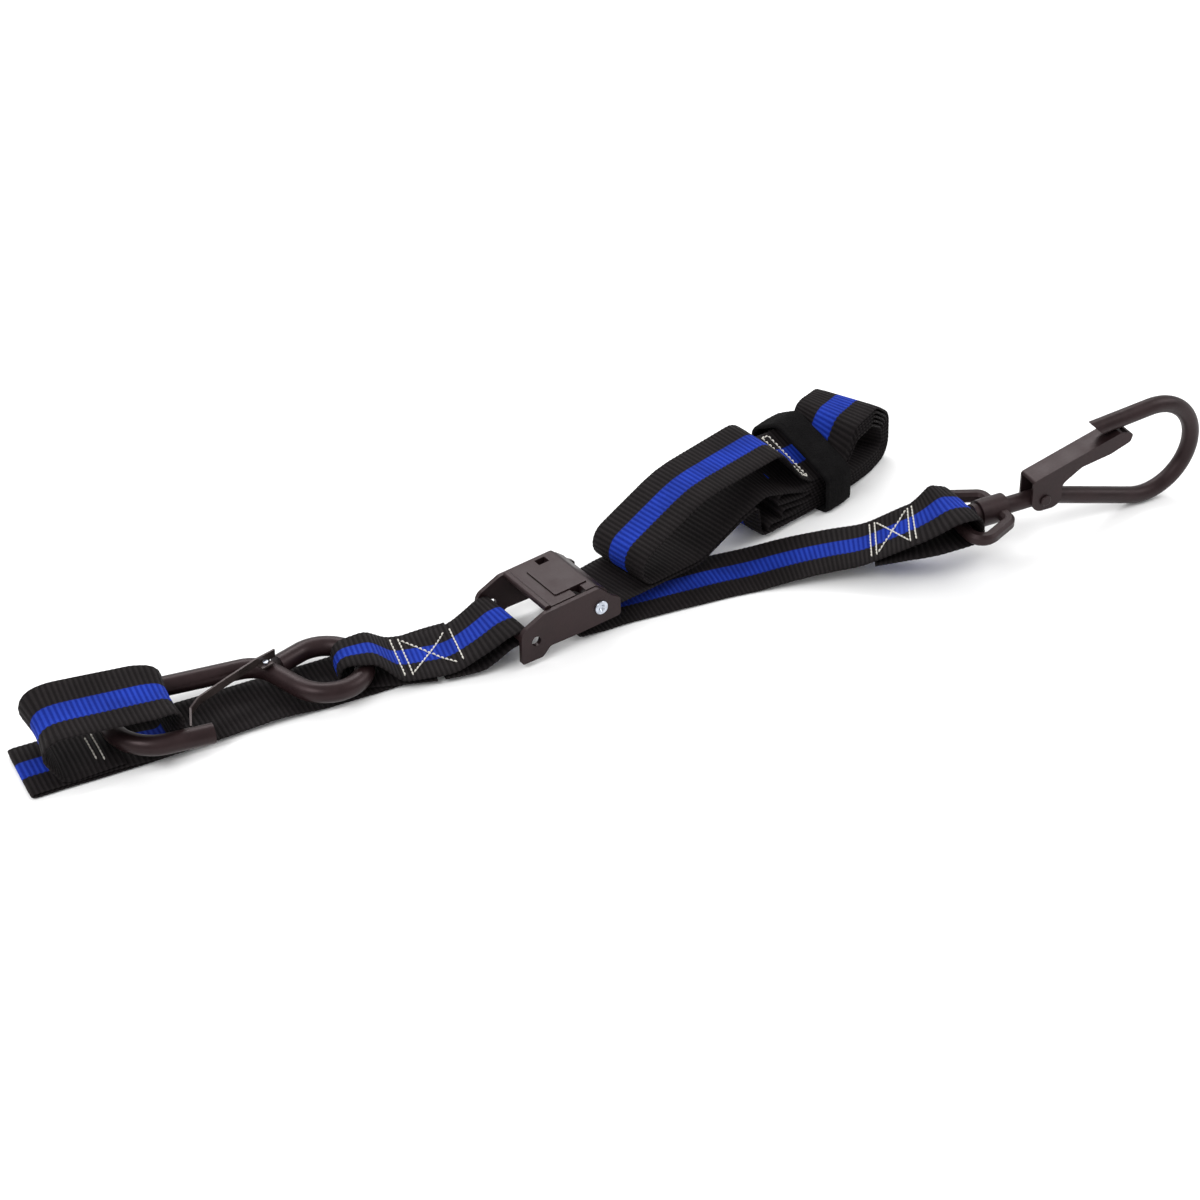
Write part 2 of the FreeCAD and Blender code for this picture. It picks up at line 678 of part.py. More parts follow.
def build_keeper():
    """Spring strip on edge: from the crossing to the inner side of the hook's open tip."""
    thick = size("keeper_thickness")
    stations = [(-22.5, 11.2, 6.0, 10.5), (-33.5, 6.6, 6.0, 10.5), (-50.0, 0.8, 3.0, 7.6),
                (-66.0, -4.6, -0.5, 4.0), (-71.5, -9.5, -2.0, 2.4), (-75.0, -22.6, -2.0, 2.0)]
    sections = []
    for index, (x, y, low, high) in enumerate(stations):
        before = stations[max(index - 1, 0)]
        after = stations[min(index + 1, len(stations) - 1)]
        along = Vector(after[0] - before[0], after[1] - before[1], 0).normalize()
        side = Vector(-along.y, along.x, 0) * (thick / 2)
        ring = [Vector(x, y, low) - side, Vector(x, y, low) + side, Vector(x, y, high) + side,
                Vector(x, y, high) - side]
        sections.append(Part.makePolygon(ring + [ring[0]]))
    strip = Part.makeLoft(sections, True, True)
    foot = Part.makeBox(7.0, 4.8, 1.0, Vector(-3.5, -4.8, 6.0))
    foot.Placement = Placement(Vector(-30.0, 8.05, 0), Rotation(22.7, 0, 0))
    keeper = strip.fuse(foot).removeSplitter()
    hole = Part.makeCylinder(1.15, 6, Vector(KEEPER_RIVET.x + 2.2, KEEPER_RIVET.y + 0.1, 4))
    add_feature("keeper", keeper.cut(hole), S_HOOK)
    rivet = Part.makeCylinder(1.1, 1.65, Vector(KEEPER_RIVET.x + 2.2, KEEPER_RIVET.y + 0.1, 5.6))
    head = Part.makeCylinder(1.4, 0.9, Vector(KEEPER_RIVET.x + 2.2, KEEPER_RIVET.y + 0.1, 7.25))
    add_feature("keeper_rivet", rivet.fuse(head).removeSplitter(), S_HOOK)


# ---------------------------------------------------------------- swivel and snap hook

BARREL_START = -107.0
BARREL_END = -91.0
RING_LEFT = -124.0


def build_swivel_eye():
    """Ring in a level plane, its barrel round the hook's neck."""
    bar = size("swivel_bar")
    outer = [(RING_LEFT, -30.0, 10), (BARREL_END - 1, -15.5, 8.5), (BARREL_END - 1, 15.5, 8.5),
             (RING_LEFT, 30.0, 10)]
    ring = Part.Face(flat_wire(closed_outline(outer)))
    hole = Part.Face(flat_wire(closed_outline(outer, bar)))
    solid = ring.cut(hole).extrude(Vector(0, 0, bar))
    solid.translate(Vector(0, 0, size("swivel_height") - bar / 2))
    chamfer = 1.6
    edges = [edge for edge in solid.Edges
             if abs(edge.BoundBox.ZLength) < 0.01]
    solid = solid.makeChamfer(chamfer, edges)
    barrel = Part.makeCylinder(size("barrel_radius"), BARREL_END - BARREL_START,
                               Vector(BARREL_START, 0, size("swivel_height")), Vector(1, 0, 0))
    bore = Part.makeCylinder(size("neck_radius") + size("running_clearance"), 40,
                             Vector(BARREL_START - 12, 0, size("swivel_height")), Vector(1, 0, 0))
    room = Part.makeCylinder(size("neck_head_radius") + 0.5, 9.6,
                             Vector(BARREL_START - 9.6, 0, size("swivel_height")), Vector(1, 0, 0))
    add_feature("swivel_eye", solid.fuse(barrel).cut(bore).cut(room).removeSplitter(), SNAP_HOOK)


def build_snap_hook():
    height = size("swivel_height")
    bend = size("snap_bend_radius")
    centre = Vector(1.0, 32.65, 0)
    slope = math.radians(-17)
    arc_first = slope - math.pi / 2
    arc_last = math.radians(96)
    low = centre + Vector(math.cos(arc_first), math.sin(arc_first), 0) * bend
    high = centre + Vector(math.cos(arc_last), math.sin(arc_last), 0) * bend
    run = (height - low.y) / math.tan(-slope)
    shank_start = BARREL_END + 0.4
    lead = corner_path([(shank_start, height, 0), (low.x - run, height, 12), (low.x, low.y, 0)])
    arc = Part.ArcOfCircle(Part.Circle(centre, Vector(0, 0, 1), bend), arc_first, arc_last)
    tip_along = Vector(-math.sin(arc_last), math.cos(arc_last), 0)
    tip = high + tip_along * 38.0
    geometry = offset_geometry(lead, 0) + [arc, Part.LineSegment(high, tip)]
    rod = pipe(side_wire(geometry), size("snap_rod_radius"))
    # slanted end face of the open tip
    cutter = Part.makeBox(18, 30, 14, Vector(-3, -15, -14))
    cutter.Placement = Placement(Vector(-40.6, 0, 61.6), Rotation(Vector(0, 1, 0), 45.6))
    rod = rod.cut(cutter)
    neck = Part.makeCylinder(size("neck_radius"), shank_start - BARREL_START + 1.5,
                             Vector(BARREL_START - 1.0, 0, height), Vector(1, 0, 0))
    head = Part.makeCylinder(size("neck_head_radius"), 3.0, Vector(BARREL_START - 3.4, 0, height),
                             Vector(1, 0, 0))
    rivet_bore = Part.makeCylinder(size("gate_rivet_radius"), 20, Vector(-68.5, -10, 24.7),
                                   Vector(0, 1, 0))
    add_feature("snap_hook_rod", rod.fuse(neck).fuse(head).cut(rivet_bore).removeSplitter(),
                SNAP_HOOK)


GATE_OUTLINE = [(-77.0, 38.2, 2), (-24.0, 53.6, 3), (-15.0, 51.5, 2), (-16.5, 46.5, 2.5),
                (-28.5, 42.0, 6), (-46.5, 39.0, 8), (-58.5, 31.5, 5), (-57.5, 18.4, 6),
                (-76.5, 18.4, 7)]


def build_gate():
    """U-shaped sheet gate: back on top, two flanges astride the hook rod."""
    sheet_thick = size("gate_sheet")
    inner = size("gate_inner_width")
    outer = inner + 2 * sheet_thick
    body = add_body("gate", SNAP_HOOK)
    sketch = add_sketch(body, "gate_side", "XZ_Plane", closed_outline(GATE_OUTLINE))
    add_pad(body, "gate_pad", sketch, cell("gate_inner_width") + " + 2 * <<sizes>>.gate_sheet")
    slope = math.atan2(53.6 - 38.2, 77.0 - 24.0)
    drop = sheet_thick / math.cos(slope)
    hollow = [(-90.0, 38.2 - 13 * math.tan(slope) - drop, 0), (-20.0, 53.6 + 4 * math.tan(slope) - drop, 0),
              (-16.4, 51.0, 0), (-17.9, 40.0, 0), (-17.9, 10.0, 0), (-90.0, 10.0, 0)]
    sketch = add_sketch(body, "gate_hollow", "XZ_Plane", closed_outline(hollow))
    add_pocket(body, "gate_hollow_pocket", sketch, inner)
    bore = circle_outline(-68.5, 24.7, size("gate_rivet_radius") + size("running_clearance"))
    sketch = add_sketch(body, "gate_bore", "XZ_Plane", bore)
    add_pocket(body, "gate_bore_pocket", sketch, 2 * outer)

    rivet = Part.makeCylinder(size("gate_rivet_radius"), outer + 0.8,
                              Vector(-68.5, -outer / 2 - 0.4, 24.7), Vector(0, 1, 0))
    for side in (-1, 1):
        head = Part.makeCylinder(size("gate_rivet_head_radius"), 1.0,
                                 Vector(-68.5, side * (outer / 2 + 0.35), 24.7), Vector(0, side, 0))
        rim = side * (outer / 2 + 1.35)
        head = head.makeFillet(0.6, [edge for edge in head.Edges
                                     if edge.Closed and abs(edge.CenterOfMass.y - rim) < 0.01])
        rivet = rivet.fuse(head)
    add_feature("gate_rivet", rivet.removeSplitter(), SNAP_HOOK)


def build_gate_spring():
    turns = 6
    height = 9.6
    coil = coil_spring(turns, height / turns, 2.3, 0.4)
    add_feature("gate_spring", coil, moved(SNAP_HOOK, -61.5, 0, 29.6))


# ---------------------------------------------------------------- stitching

def stitch_bar(x0, y0, x1, y1):
    """One sewn line lying on a flat top, from point to point."""
    length = math.hypot(x1 - x0, y1 - y0)
    bar = Part.makeBox(length, size("stitch_width"), size("stitch_height"),
                       Vector(0, -size("stitch_width") / 2, 0))
    angle = math.degrees(math.atan2(y1 - y0, x1 - x0))
    bar.Placement = Placement(Vector(x0, y0, 0), Rotation(angle, 0, 0))
    return bar


def stitch_group(label, lines, placement):
    bars = [stitch_bar(*line) for line in lines]
    solid = bars[0]
    for bar in bars[1:]:
        solid = solid.fuse(bar)
    add_feature(label, solid.removeSplitter(), placement)


def top_placement(x, y, z, heading, pitch=0.0):
    return Placement(floor_point(x, y, z), Rotation(heading, -pitch, 0))


def build_stitching():
    lift = 0.1
    x, y, heading = FIXED_SPINE.at(50)
    box = [(-8.4, -15.5, -8.4, 15.5), (-5.6, -15.5, -5.6, 15.5), (11.6, -13, 11.6, 13),
           (-4.6, -13, 10.6, 13), (-4.6, 13, 10.6, -13)]
    stitch_group("fixed_webbing_stitching", box,
                 top_placement(x, y, 4.9 + HALF_THICK + lift, math.degrees(heading)))

    rows = [(-2.2, -11, -2.2, 9), (1.2, -11, 1.2, 9)]
    stitch_group("soft_loop_stitching", rows,
                 Placement(floor_point(-266.5, -20.0, 3.6 + lift), Rotation(0, 0, 0)))

    s = 175.0
    x, y, heading = MAIN_SPINE.at(s)
    box = [(-11, -14, -11, 14), (-8.4, -14, -8.4, 14), (8.4, -14, 8.4, 14), (11, -14, 11, 14),
           (-7.4, -12, 7.4, 12), (-7.4, 12, 7.4, -12)]
    foot, top = SWIVEL_RISE
    pitch = math.degrees(math.atan2(top[1] - foot[1], top[0] - foot[0]))
    rise = foot[1] + (s - foot[0]) * math.tan(math.radians(pitch))
    lifted = rise + (HALF_THICK + 5 * lift) / math.cos(math.radians(pitch))
    stitch_group("swivel_loop_stitching", box,
                 top_placement(x, y, lifted, math.degrees(heading), pitch))

    rows = [(-2.2, -14, -2.2, 14), (2.2, -14, 2.2, 14), (-2.2, -14, 2.2, -14), (-2.2, 14, 2.2, 14)]
    stitch_group("band_stitching", rows,
                 moved(HANK, -5.2, WIDTH / 2, 31.7 + HALF_THICK + 0.1, Rotation(0, 2.7, 0)))


# ---------------------------------------------------------------- build and write

build_soft_loop()
build_fixed_webbing()
build_main_webbing()
build_buckle_turn()
build_hank()
build_plates()
build_bars()
build_lever()
build_cam_spring()
build_s_hook()
build_keeper()
build_swivel_eye()
build_snap_hook()
build_gate()
build_gate_spring()
build_stitching()
doc.recompute()

os.makedirs("parts", exist_ok=True)
whole = FreeCAD.BoundBox()
for item in doc.Objects:
    for state in item.State:
        if state in ("Invalid", "Error"):
            raise ValueError("bad feature: " + item.Label)
for piece in PIECES:
    shape = piece.Shape
    if shape.isNull() or not shape.isValid():
        raise ValueError("bad shape: " + piece.Label)
    shape.exportStep("parts/%s.step" % piece.Label)
    whole.add(shape.BoundBox)
    print("%-26s volume %9.1f solids %d" % (piece.Label, shape.Volume, len(shape.Solids)))
print("box x %.1f %.1f  y %.1f %.1f  z %.1f %.1f" % (whole.XMin, whole.XMax, whole.YMin, whole.YMax,
                                                 whole.ZMin, whole.ZMax))
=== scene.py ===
import math

import bpy
import bmesh
from bpy.props import FloatProperty, FloatVectorProperty, PointerProperty
from bpy.types import Operator, Panel, PropertyGroup
from mathutils import Matrix, Vector, noise


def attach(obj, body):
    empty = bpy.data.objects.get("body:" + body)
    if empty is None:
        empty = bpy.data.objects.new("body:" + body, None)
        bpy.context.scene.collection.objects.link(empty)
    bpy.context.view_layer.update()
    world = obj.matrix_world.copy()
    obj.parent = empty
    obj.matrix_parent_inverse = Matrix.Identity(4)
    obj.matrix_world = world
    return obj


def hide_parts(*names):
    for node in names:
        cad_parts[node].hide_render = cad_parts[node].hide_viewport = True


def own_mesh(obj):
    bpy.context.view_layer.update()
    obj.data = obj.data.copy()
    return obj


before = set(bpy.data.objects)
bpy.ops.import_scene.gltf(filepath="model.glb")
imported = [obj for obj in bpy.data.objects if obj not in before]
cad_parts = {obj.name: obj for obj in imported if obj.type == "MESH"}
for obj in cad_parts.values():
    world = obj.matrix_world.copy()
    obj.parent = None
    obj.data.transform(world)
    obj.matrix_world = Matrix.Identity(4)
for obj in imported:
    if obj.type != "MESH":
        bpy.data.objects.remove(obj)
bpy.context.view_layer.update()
ROOT = "straps_and_buckle"

bl_info = {
    "name": "Cam Buckle Tie-Down",
    "version": (1, 0, 0),
    "blender": (4, 5, 0),
    "location": "3D View > Sidebar > Tie-Down",
    "description": "Dresses a cam buckle tie-down strap: woven straps, stitching, coated hardware",
    "category": "Object",
}

MM = 0.001
DATUM = Vector((14.3, 15.0, 0.0))
# pitch of the warp yarns in metres, and cross picks to one rib
YARN_PITCH = 0.00085
PICKS_PER_RIB = 3
# the lay map is in decimetres
LAY_UNIT = 0.1
# largest angle in radians between two points of a rounded corner
CORNER_STEP = 0.2
# rounds of smoothing for roll, shift, width and bow along a strap
FACT_ROUNDS = 24
# slow waviness of a strap that lies loose
RIPPLE_RATE = 0.045
RIPPLE_TILT = 0.05
RIPPLE_RISE = 0.35
# largest half opening angle of a bowed section, in radians
BOW_LIMIT = 1.4
# stations of a woven strap to one rib, thinning at its edges and depth of their saw teeth
STATIONS_PER_RIB = 5
EDGE_THINNING = 0.72
SAW_DEPTH = 0.005
# sewing: gap between stitches and their stray in millimetres, and the thread's sides
STITCH_GAP = 0.35
STITCH_STRAY = 0.16
THREAD_SIDES = 8
# closure band: place and heading of its near corner, points round and across its ring
BAND_CORNER = (141.5, 27.0, 0.0)
BAND_HEADING = math.radians(23.5)
BAND_POINTS = 150
BAND_COLUMNS = 28
# stage
SENSOR_WIDTH = 36.0
FLOOR_GAP = 0.0003
FLOOR_SIZE = 4.0
AIR_STRENGTH = 0.72
VIEW_DEPTH = 50.0


def place(x, y, z):
    """A station in millimetres from the drawing's datum, as a point of the part in metres."""
    return (Vector((x, y, z)) - DATUM) * MM


# ------------------------------------------------------------------ settings


class StrapSettings(PropertyGroup):
    width: FloatProperty(name="Strap width", description="Width of the webbing", default=0.038,
                         unit="LENGTH")
    thickness: FloatProperty(name="Strap thickness", description="Thickness of the webbing",
                             default=0.0015, unit="LENGTH")
    rib_pitch: FloatProperty(name="Rib pitch", default=0.0026, unit="LENGTH",
                             description="Distance from one cross rib to the next")
    rib_height: FloatProperty(name="Rib height", description="How far a rib stands out",
                              default=0.00011, unit="LENGTH")
    stripe_width: FloatProperty(name="Stripe width", description="Width of the centre stripe",
                                default=0.0118, unit="LENGTH")
    ground: FloatVectorProperty(name="Ground colour", description="Colour of the webbing's sides",
                                subtype="COLOR", default=(0.0046, 0.0036, 0.0038))
    stripe: FloatVectorProperty(name="Stripe colour", description="Colour of the centre stripe",
                                subtype="COLOR", default=(0.0060, 0.0235, 0.335))


class StitchSettings(PropertyGroup):
    thread: FloatProperty(name="Thread thickness", description="Thickness of the sewing thread",
                          default=0.0009, unit="LENGTH")
    length: FloatProperty(name="Stitch length", description="Length of one stitch",
                          default=0.0024, unit="LENGTH")
    colour: FloatVectorProperty(name="Thread colour", description="Colour of the sewing thread",
                                subtype="COLOR", default=(0.80, 0.77, 0.70))


class HardwareSettings(PropertyGroup):
    coat: FloatVectorProperty(name="Coat colour", description="Colour of the dark metal coating",
                              subtype="COLOR", default=(0.0125, 0.0066, 0.0070))
    dip: FloatVectorProperty(name="Dip colour", description="Colour of the S-hook's plastic coat",
                             subtype="COLOR", default=(0.0120, 0.0060, 0.0064))
    zinc: FloatVectorProperty(name="Zinc colour", description="Colour of the bright rivets",
                              subtype="COLOR", default=(0.56, 0.60, 0.68))
    edge_round: FloatProperty(name="Edge rounding", default=0.00035, unit="LENGTH",
                              description="Rounding of the pressed plates' edges")


class BandSettings(PropertyGroup):
    length: FloatProperty(name="Band width", description="Width of the closure band along the hank",
                          default=0.020, unit="LENGTH")
    thickness: FloatProperty(name="Band thickness", description="Thickness of the closure band",
                             default=0.0021, unit="LENGTH")
    nap: FloatProperty(name="Nap", description="Unevenness of the napped face", default=0.00022,
                       unit="LENGTH")
    colour: FloatVectorProperty(name="Band colour", description="Colour of the closure band",
                                subtype="COLOR", default=(0.0026, 0.0024, 0.0025))


class StageSettings(PropertyGroup):
    azimuth: FloatProperty(name="Camera azimuth", description="Direction the camera stands in",
                           default=math.radians(-23.2), subtype="ANGLE")
    elevation: FloatProperty(name="Camera elevation", description="Height angle of the camera",
                             default=math.radians(36.2), subtype="ANGLE")
    distance: FloatProperty(name="Camera distance", default=1.38, unit="LENGTH",
                            description="Distance from the floor point it faces")
    lens: FloatProperty(name="Lens", description="Focal length in millimetres", default=80.0)
    floor: FloatVectorProperty(name="Floor colour", description="Colour of the floor",
                               subtype="COLOR", default=(0.93, 0.93, 0.93))


class TieDownSettings(PropertyGroup):
    strap: PointerProperty(type=StrapSettings, name="Straps",
                           description="Webbing sizes and colours")
    stitch: PointerProperty(type=StitchSettings, name="Stitching", description="Sewing thread")
    hardware: PointerProperty(type=HardwareSettings, name="Hardware", description="Metal finishes")
    band: PointerProperty(type=BandSettings, name="Band", description="Closure band")
    stage: PointerProperty(type=StageSettings, name="Stage", description="Camera and floor")


def settings():
    return bpy.context.scene.tie_down


# ------------------------------------------------------------------ node helpers


class Recipe:
    """A small helper that lays nodes of one material and links them."""

    def __init__(self, name):
        self.material = bpy.data.materials.new(name)
        self.material.use_nodes = True
        self.tree = self.material.node_tree
        self.tree.nodes.clear()
        self.output = self.node("ShaderNodeOutputMaterial")
        self.surface = self.node("ShaderNodeBsdfPrincipled")
        self.link(self.surface.outputs["BSDF"], self.output.inputs["Surface"])

    def node(self, kind, **facts):
        made = self.tree.nodes.new(kind)
        for name, value in facts.items():
            setattr(made, name, value)
        return made

    def link(self, source, target):
        self.tree.links.new(source, target)

    def feed(self, socket, value):
        """Plug in another node's output, or set a plain value."""
        if isinstance(value, bpy.types.NodeSocket):
            self.link(value, socket)
        else:
            socket.default_value = value

    def maths(self, operation, first, second=0.0, clamp=False):
        made = self.node("ShaderNodeMath", operation=operation, use_clamp=clamp)
        self.feed(made.inputs[0], first)
        self.feed(made.inputs[1], second)
        return made.outputs[0]

    def fade(self, value, low, high, to_low=0.0, to_high=1.0):
        made = self.node("ShaderNodeMapRange", interpolation_type="SMOOTHSTEP")
        for index, part in enumerate((value, low, high, to_low, to_high)):
            self.feed(made.inputs[index], part)
        return made.outputs[0]

    def blend(self, factor, first, second, mode="MIX"):
        made = self.node("ShaderNodeMix", data_type="RGBA", blend_type=mode)
        self.feed(made.inputs["Factor"], factor)
        self.feed(made.inputs["A"], first)
        self.feed(made.inputs["B"], second)
        return made.outputs["Result"]

    def grain(self, coordinate, scale, detail=3.0, roughness=0.55):
        made = self.node("ShaderNodeTexNoise")
        self.feed(made.inputs["Vector"], coordinate)
        made.inputs["Scale"].default_value = scale
        made.inputs["Detail"].default_value = detail
        made.inputs["Roughness"].default_value = roughness
        return made.outputs["Fac"]

    def paint(self, factor, first, second):
        """Mix two plain colours into the base colour."""
        mixed = self.blend(factor, opaque(first), opaque(second))
        self.link(mixed, self.surface.inputs["Base Color"])

    def relief(self, height, strength, distance):
        made = self.node("ShaderNodeBump")
        made.inputs["Strength"].default_value = strength
        made.inputs["Distance"].default_value = distance
        self.feed(made.inputs["Height"], height)
        self.link(made.outputs["Normal"], self.surface.inputs["Normal"])

    def uniform(self, **sockets):
        """Values that are the same all over, set on the surface's own sockets."""
        for name, value in sockets.items():
            self.surface.inputs[name.replace("_", " ")].default_value = value


def opaque(colour):
    return (colour[0], colour[1], colour[2], 1.0)


def webbing_material():
    """Ribbed polyester weave: dark ground, bright centre stripe, fine warp lines, rib crests in painted
    highlight and the hollows between them in painted shade.
    """
    strap = settings().strap
    recipe = Recipe("striped_webbing")
    lay = recipe.node("ShaderNodeUVMap", uv_map="lay")
    split = recipe.node("ShaderNodeSeparateXYZ")
    recipe.link(lay.outputs["UV"], split.inputs[0])
    along = recipe.maths("MULTIPLY", split.outputs["X"], LAY_UNIT)
    across = recipe.maths("MULTIPLY", split.outputs["Y"], LAY_UNIT)
    rib_turn = 2 * math.pi / strap.rib_pitch
    rib = recipe.maths("SINE", recipe.maths("MULTIPLY", along, rib_turn))
    yarn_turn = 2 * math.pi / YARN_PITCH
    yarn = recipe.maths("SINE", recipe.maths("MULTIPLY", across, yarn_turn))
    pick = recipe.maths("SINE", recipe.maths("MULTIPLY", along, rib_turn * PICKS_PER_RIB))
    weave = recipe.maths("MULTIPLY", yarn, pick)
    cloth = recipe.node("ShaderNodeCombineXYZ")
    recipe.link(along, cloth.inputs["X"])
    recipe.link(across, cloth.inputs["Y"])
    fuzz = recipe.grain(cloth.outputs[0], 900.0, 4.0, 0.6)
    patches = recipe.grain(cloth.outputs[0], 55.0, 3.0, 0.5)
    # stripe with an edge that steps from rib to rib
    wander = recipe.maths("MULTIPLY", rib, 0.00022)
    wander = recipe.maths("ADD", wander, recipe.maths("MULTIPLY", fuzz, 0.0006))
    centre = recipe.maths("ABSOLUTE", across)
    edge = recipe.maths("ADD", centre, wander)
    half = strap.stripe_width / 2
    mask = recipe.fade(edge, half + 0.0001, half + 0.00055, 1.0, 0.0)
    # lit and shaded copies of ground and stripe: rib crests get painted highlight and the hollows painted
    # shade, mixed with random yarn fuzz
    ground_highlit = tuple(part * 2.6 + 0.0015 for part in strap.ground)
    stripe_shaded = tuple(part * 0.50 for part in strap.stripe)
    stripe_highlit = (strap.stripe[0] * 2.2, strap.stripe[1] * 1.9, strap.stripe[2] * 1.12)
    rib_crest_highlight = recipe.fade(rib, -0.9, 0.9)
    crest_highlight_and_fuzz = recipe.maths("ADD", recipe.maths("MULTIPLY", rib_crest_highlight, 0.62),
                          recipe.maths("MULTIPLY", fuzz, 0.42), clamp=True)
    ground = recipe.blend(crest_highlight_and_fuzz, opaque(strap.ground), opaque(ground_highlit))
    stripe = recipe.blend(crest_highlight_and_fuzz, opaque(stripe_shaded), opaque(stripe_highlit))
    colour = recipe.blend(mask, ground, stripe)
    tone = recipe.fade(patches, 0.3, 0.7, 0.82, 1.12)
    grey = recipe.node("ShaderNodeCombineColor")
    for socket in grey.inputs[:3]:
        recipe.link(tone, socket)
    colour = recipe.blend(1.0, colour, grey.outputs[0], mode="MULTIPLY")
    recipe.link(colour, recipe.surface.inputs["Base Color"])
    rough = recipe.fade(crest_highlight_and_fuzz, 0.0, 1.0, 0.88, 0.66)
    recipe.link(rough, recipe.surface.inputs["Roughness"])
    recipe.uniform(Specular_IOR_Level=0.10)
    height = recipe.maths("MULTIPLY", rib, 0.35)
    height = recipe.maths("ADD", height, recipe.maths("MULTIPLY", weave, 0.40))
    height = recipe.maths("ADD", height, recipe.maths("MULTIPLY", fuzz, 0.55))
    recipe.relief(height, 0.8, 0.00022)
    return recipe.material


def thread_material():
    """Twisted cream thread, with painted shade in the grooves of its twist."""
    recipe = Recipe("cream_thread")
    where = recipe.node("ShaderNodeTexCoord").outputs["Object"]
    twist = recipe.node("ShaderNodeTexWave", wave_type="BANDS", bands_direction="DIAGONAL")
    recipe.link(where, twist.inputs["Vector"])
    twist.inputs["Scale"].default_value = 620.0
    twist.inputs["Distortion"].default_value = 1.5
    soil = recipe.grain(where, 260.0)
    colour = settings().stitch.colour
    # the darker copy lies in the twist's grooves as painted shade, deepened in random soiled patches
    dark = tuple(part * 0.62 for part in colour)
    tone = recipe.maths("MULTIPLY", twist.outputs["Fac"], recipe.fade(soil, 0.25, 0.6, 0.5, 1.0))
    recipe.paint(tone, dark, colour)
    recipe.link(recipe.fade(soil, 0.3, 0.7, 0.7, 0.9), recipe.surface.inputs["Roughness"])
    recipe.uniform(Sheen_Weight=0.2, Sheen_Roughness=0.5)
    recipe.relief(twist.outputs["Fac"], 0.5, 0.0002)
    return recipe.material


def nap_material():
    """Short-napped black hook-and-loop tape."""
    recipe = Recipe("napped_tape")
    where = recipe.node("ShaderNodeTexCoord").outputs["Object"]
    tuft = recipe.node("ShaderNodeTexVoronoi", feature="F1")
    recipe.link(where, tuft.inputs["Vector"])
    tuft.inputs["Scale"].default_value = 1100.0
    lint = recipe.grain(where, 1900.0, 5.0, 0.7)
    worn = recipe.grain(where, 90.0, 3.0, 0.5)
    colour = settings().band.colour
    light = tuple(part * 3.4 + 0.0015 for part in colour)
    mix = recipe.maths("MULTIPLY", lint, recipe.fade(worn, 0.3, 0.7, 0.45, 1.0))
    recipe.paint(mix, colour, light)
    recipe.link(recipe.fade(lint, 0.2, 0.8, 0.98, 0.85), recipe.surface.inputs["Roughness"])
    recipe.uniform(Sheen_Weight=0.01, Sheen_Roughness=0.6, Specular_IOR_Level=0.03)
    height = recipe.maths("ADD", recipe.maths("MULTIPLY", tuft.outputs["Distance"], 0.7), lint)
    recipe.relief(height, 1.0, 0.0005)
    return recipe.material


def coated_metal_material(name, colour, gloss, peel_scale, peel_depth, wear):
    """Dark coating over steel: slight orange peel, uneven gloss, lighter rubbed patches."""
    recipe = Recipe(name)
    rough_low, rough_high = gloss
    where = recipe.node("ShaderNodeTexCoord").outputs["Object"]
    peel = recipe.grain(where, peel_scale, 3.0, 0.5)
    cloud = recipe.grain(where, 70.0, 4.0, 0.6)
    speck = recipe.grain(where, 1500.0, 2.0, 0.6)
    light = tuple(part * (1.0 + wear) + 0.001 for part in colour)
    dark = tuple(part * 0.78 for part in colour)
    base = recipe.blend(recipe.fade(cloud, 0.3, 0.72), opaque(dark), opaque(light))
    rubbed = recipe.fade(speck, 0.66, 0.80, 0.0, 0.35)
    glint = tuple(part * 2.6 + 0.004 for part in colour)
    base = recipe.blend(rubbed, base, opaque(glint))
    recipe.link(base, recipe.surface.inputs["Base Color"])
    recipe.link(recipe.fade(cloud, 0.25, 0.75, rough_low, rough_high),
                recipe.surface.inputs["Roughness"])
    recipe.uniform(Specular_IOR_Level=0.26, Specular_Tint=(1.0, 0.80, 0.82, 1.0))
    height = recipe.maths("ADD", peel, recipe.maths("MULTIPLY", speck, 0.35))
    recipe.relief(height, 0.35, peel_depth)
    return recipe.material


def bright_metal_material(name, colour, rough):
    """Plated steel with faint turning marks."""
    recipe = Recipe(name)
    where = recipe.node("ShaderNodeTexCoord").outputs["Object"]
    scratch = recipe.grain(where, 1300.0, 4.0, 0.7)
    cloud = recipe.grain(where, 300.0)
    dull = tuple(part * 0.7 for part in colour)
    recipe.paint(recipe.fade(cloud, 0.3, 0.7), dull, colour)
    recipe.link(recipe.fade(scratch, 0.3, 0.7, rough * 0.8, rough * 1.3),
                recipe.surface.inputs["Roughness"])
    recipe.uniform(Metallic=1.0)
    recipe.relief(scratch, 0.25, 0.0001)
    return recipe.material


def paper_material(colour):
    """Matt studio paper with a barely uneven tone."""
    recipe = Recipe("studio_paper")
    where = recipe.node("ShaderNodeTexCoord").outputs["Object"]
    cloud = recipe.grain(where, 3.0)
    dim = tuple(part * 0.985 for part in colour)
    recipe.paint(cloud, dim, colour)
    recipe.uniform(Roughness=0.9, Specular_IOR_Level=0.1)
    return recipe.material


MATERIALS = {}


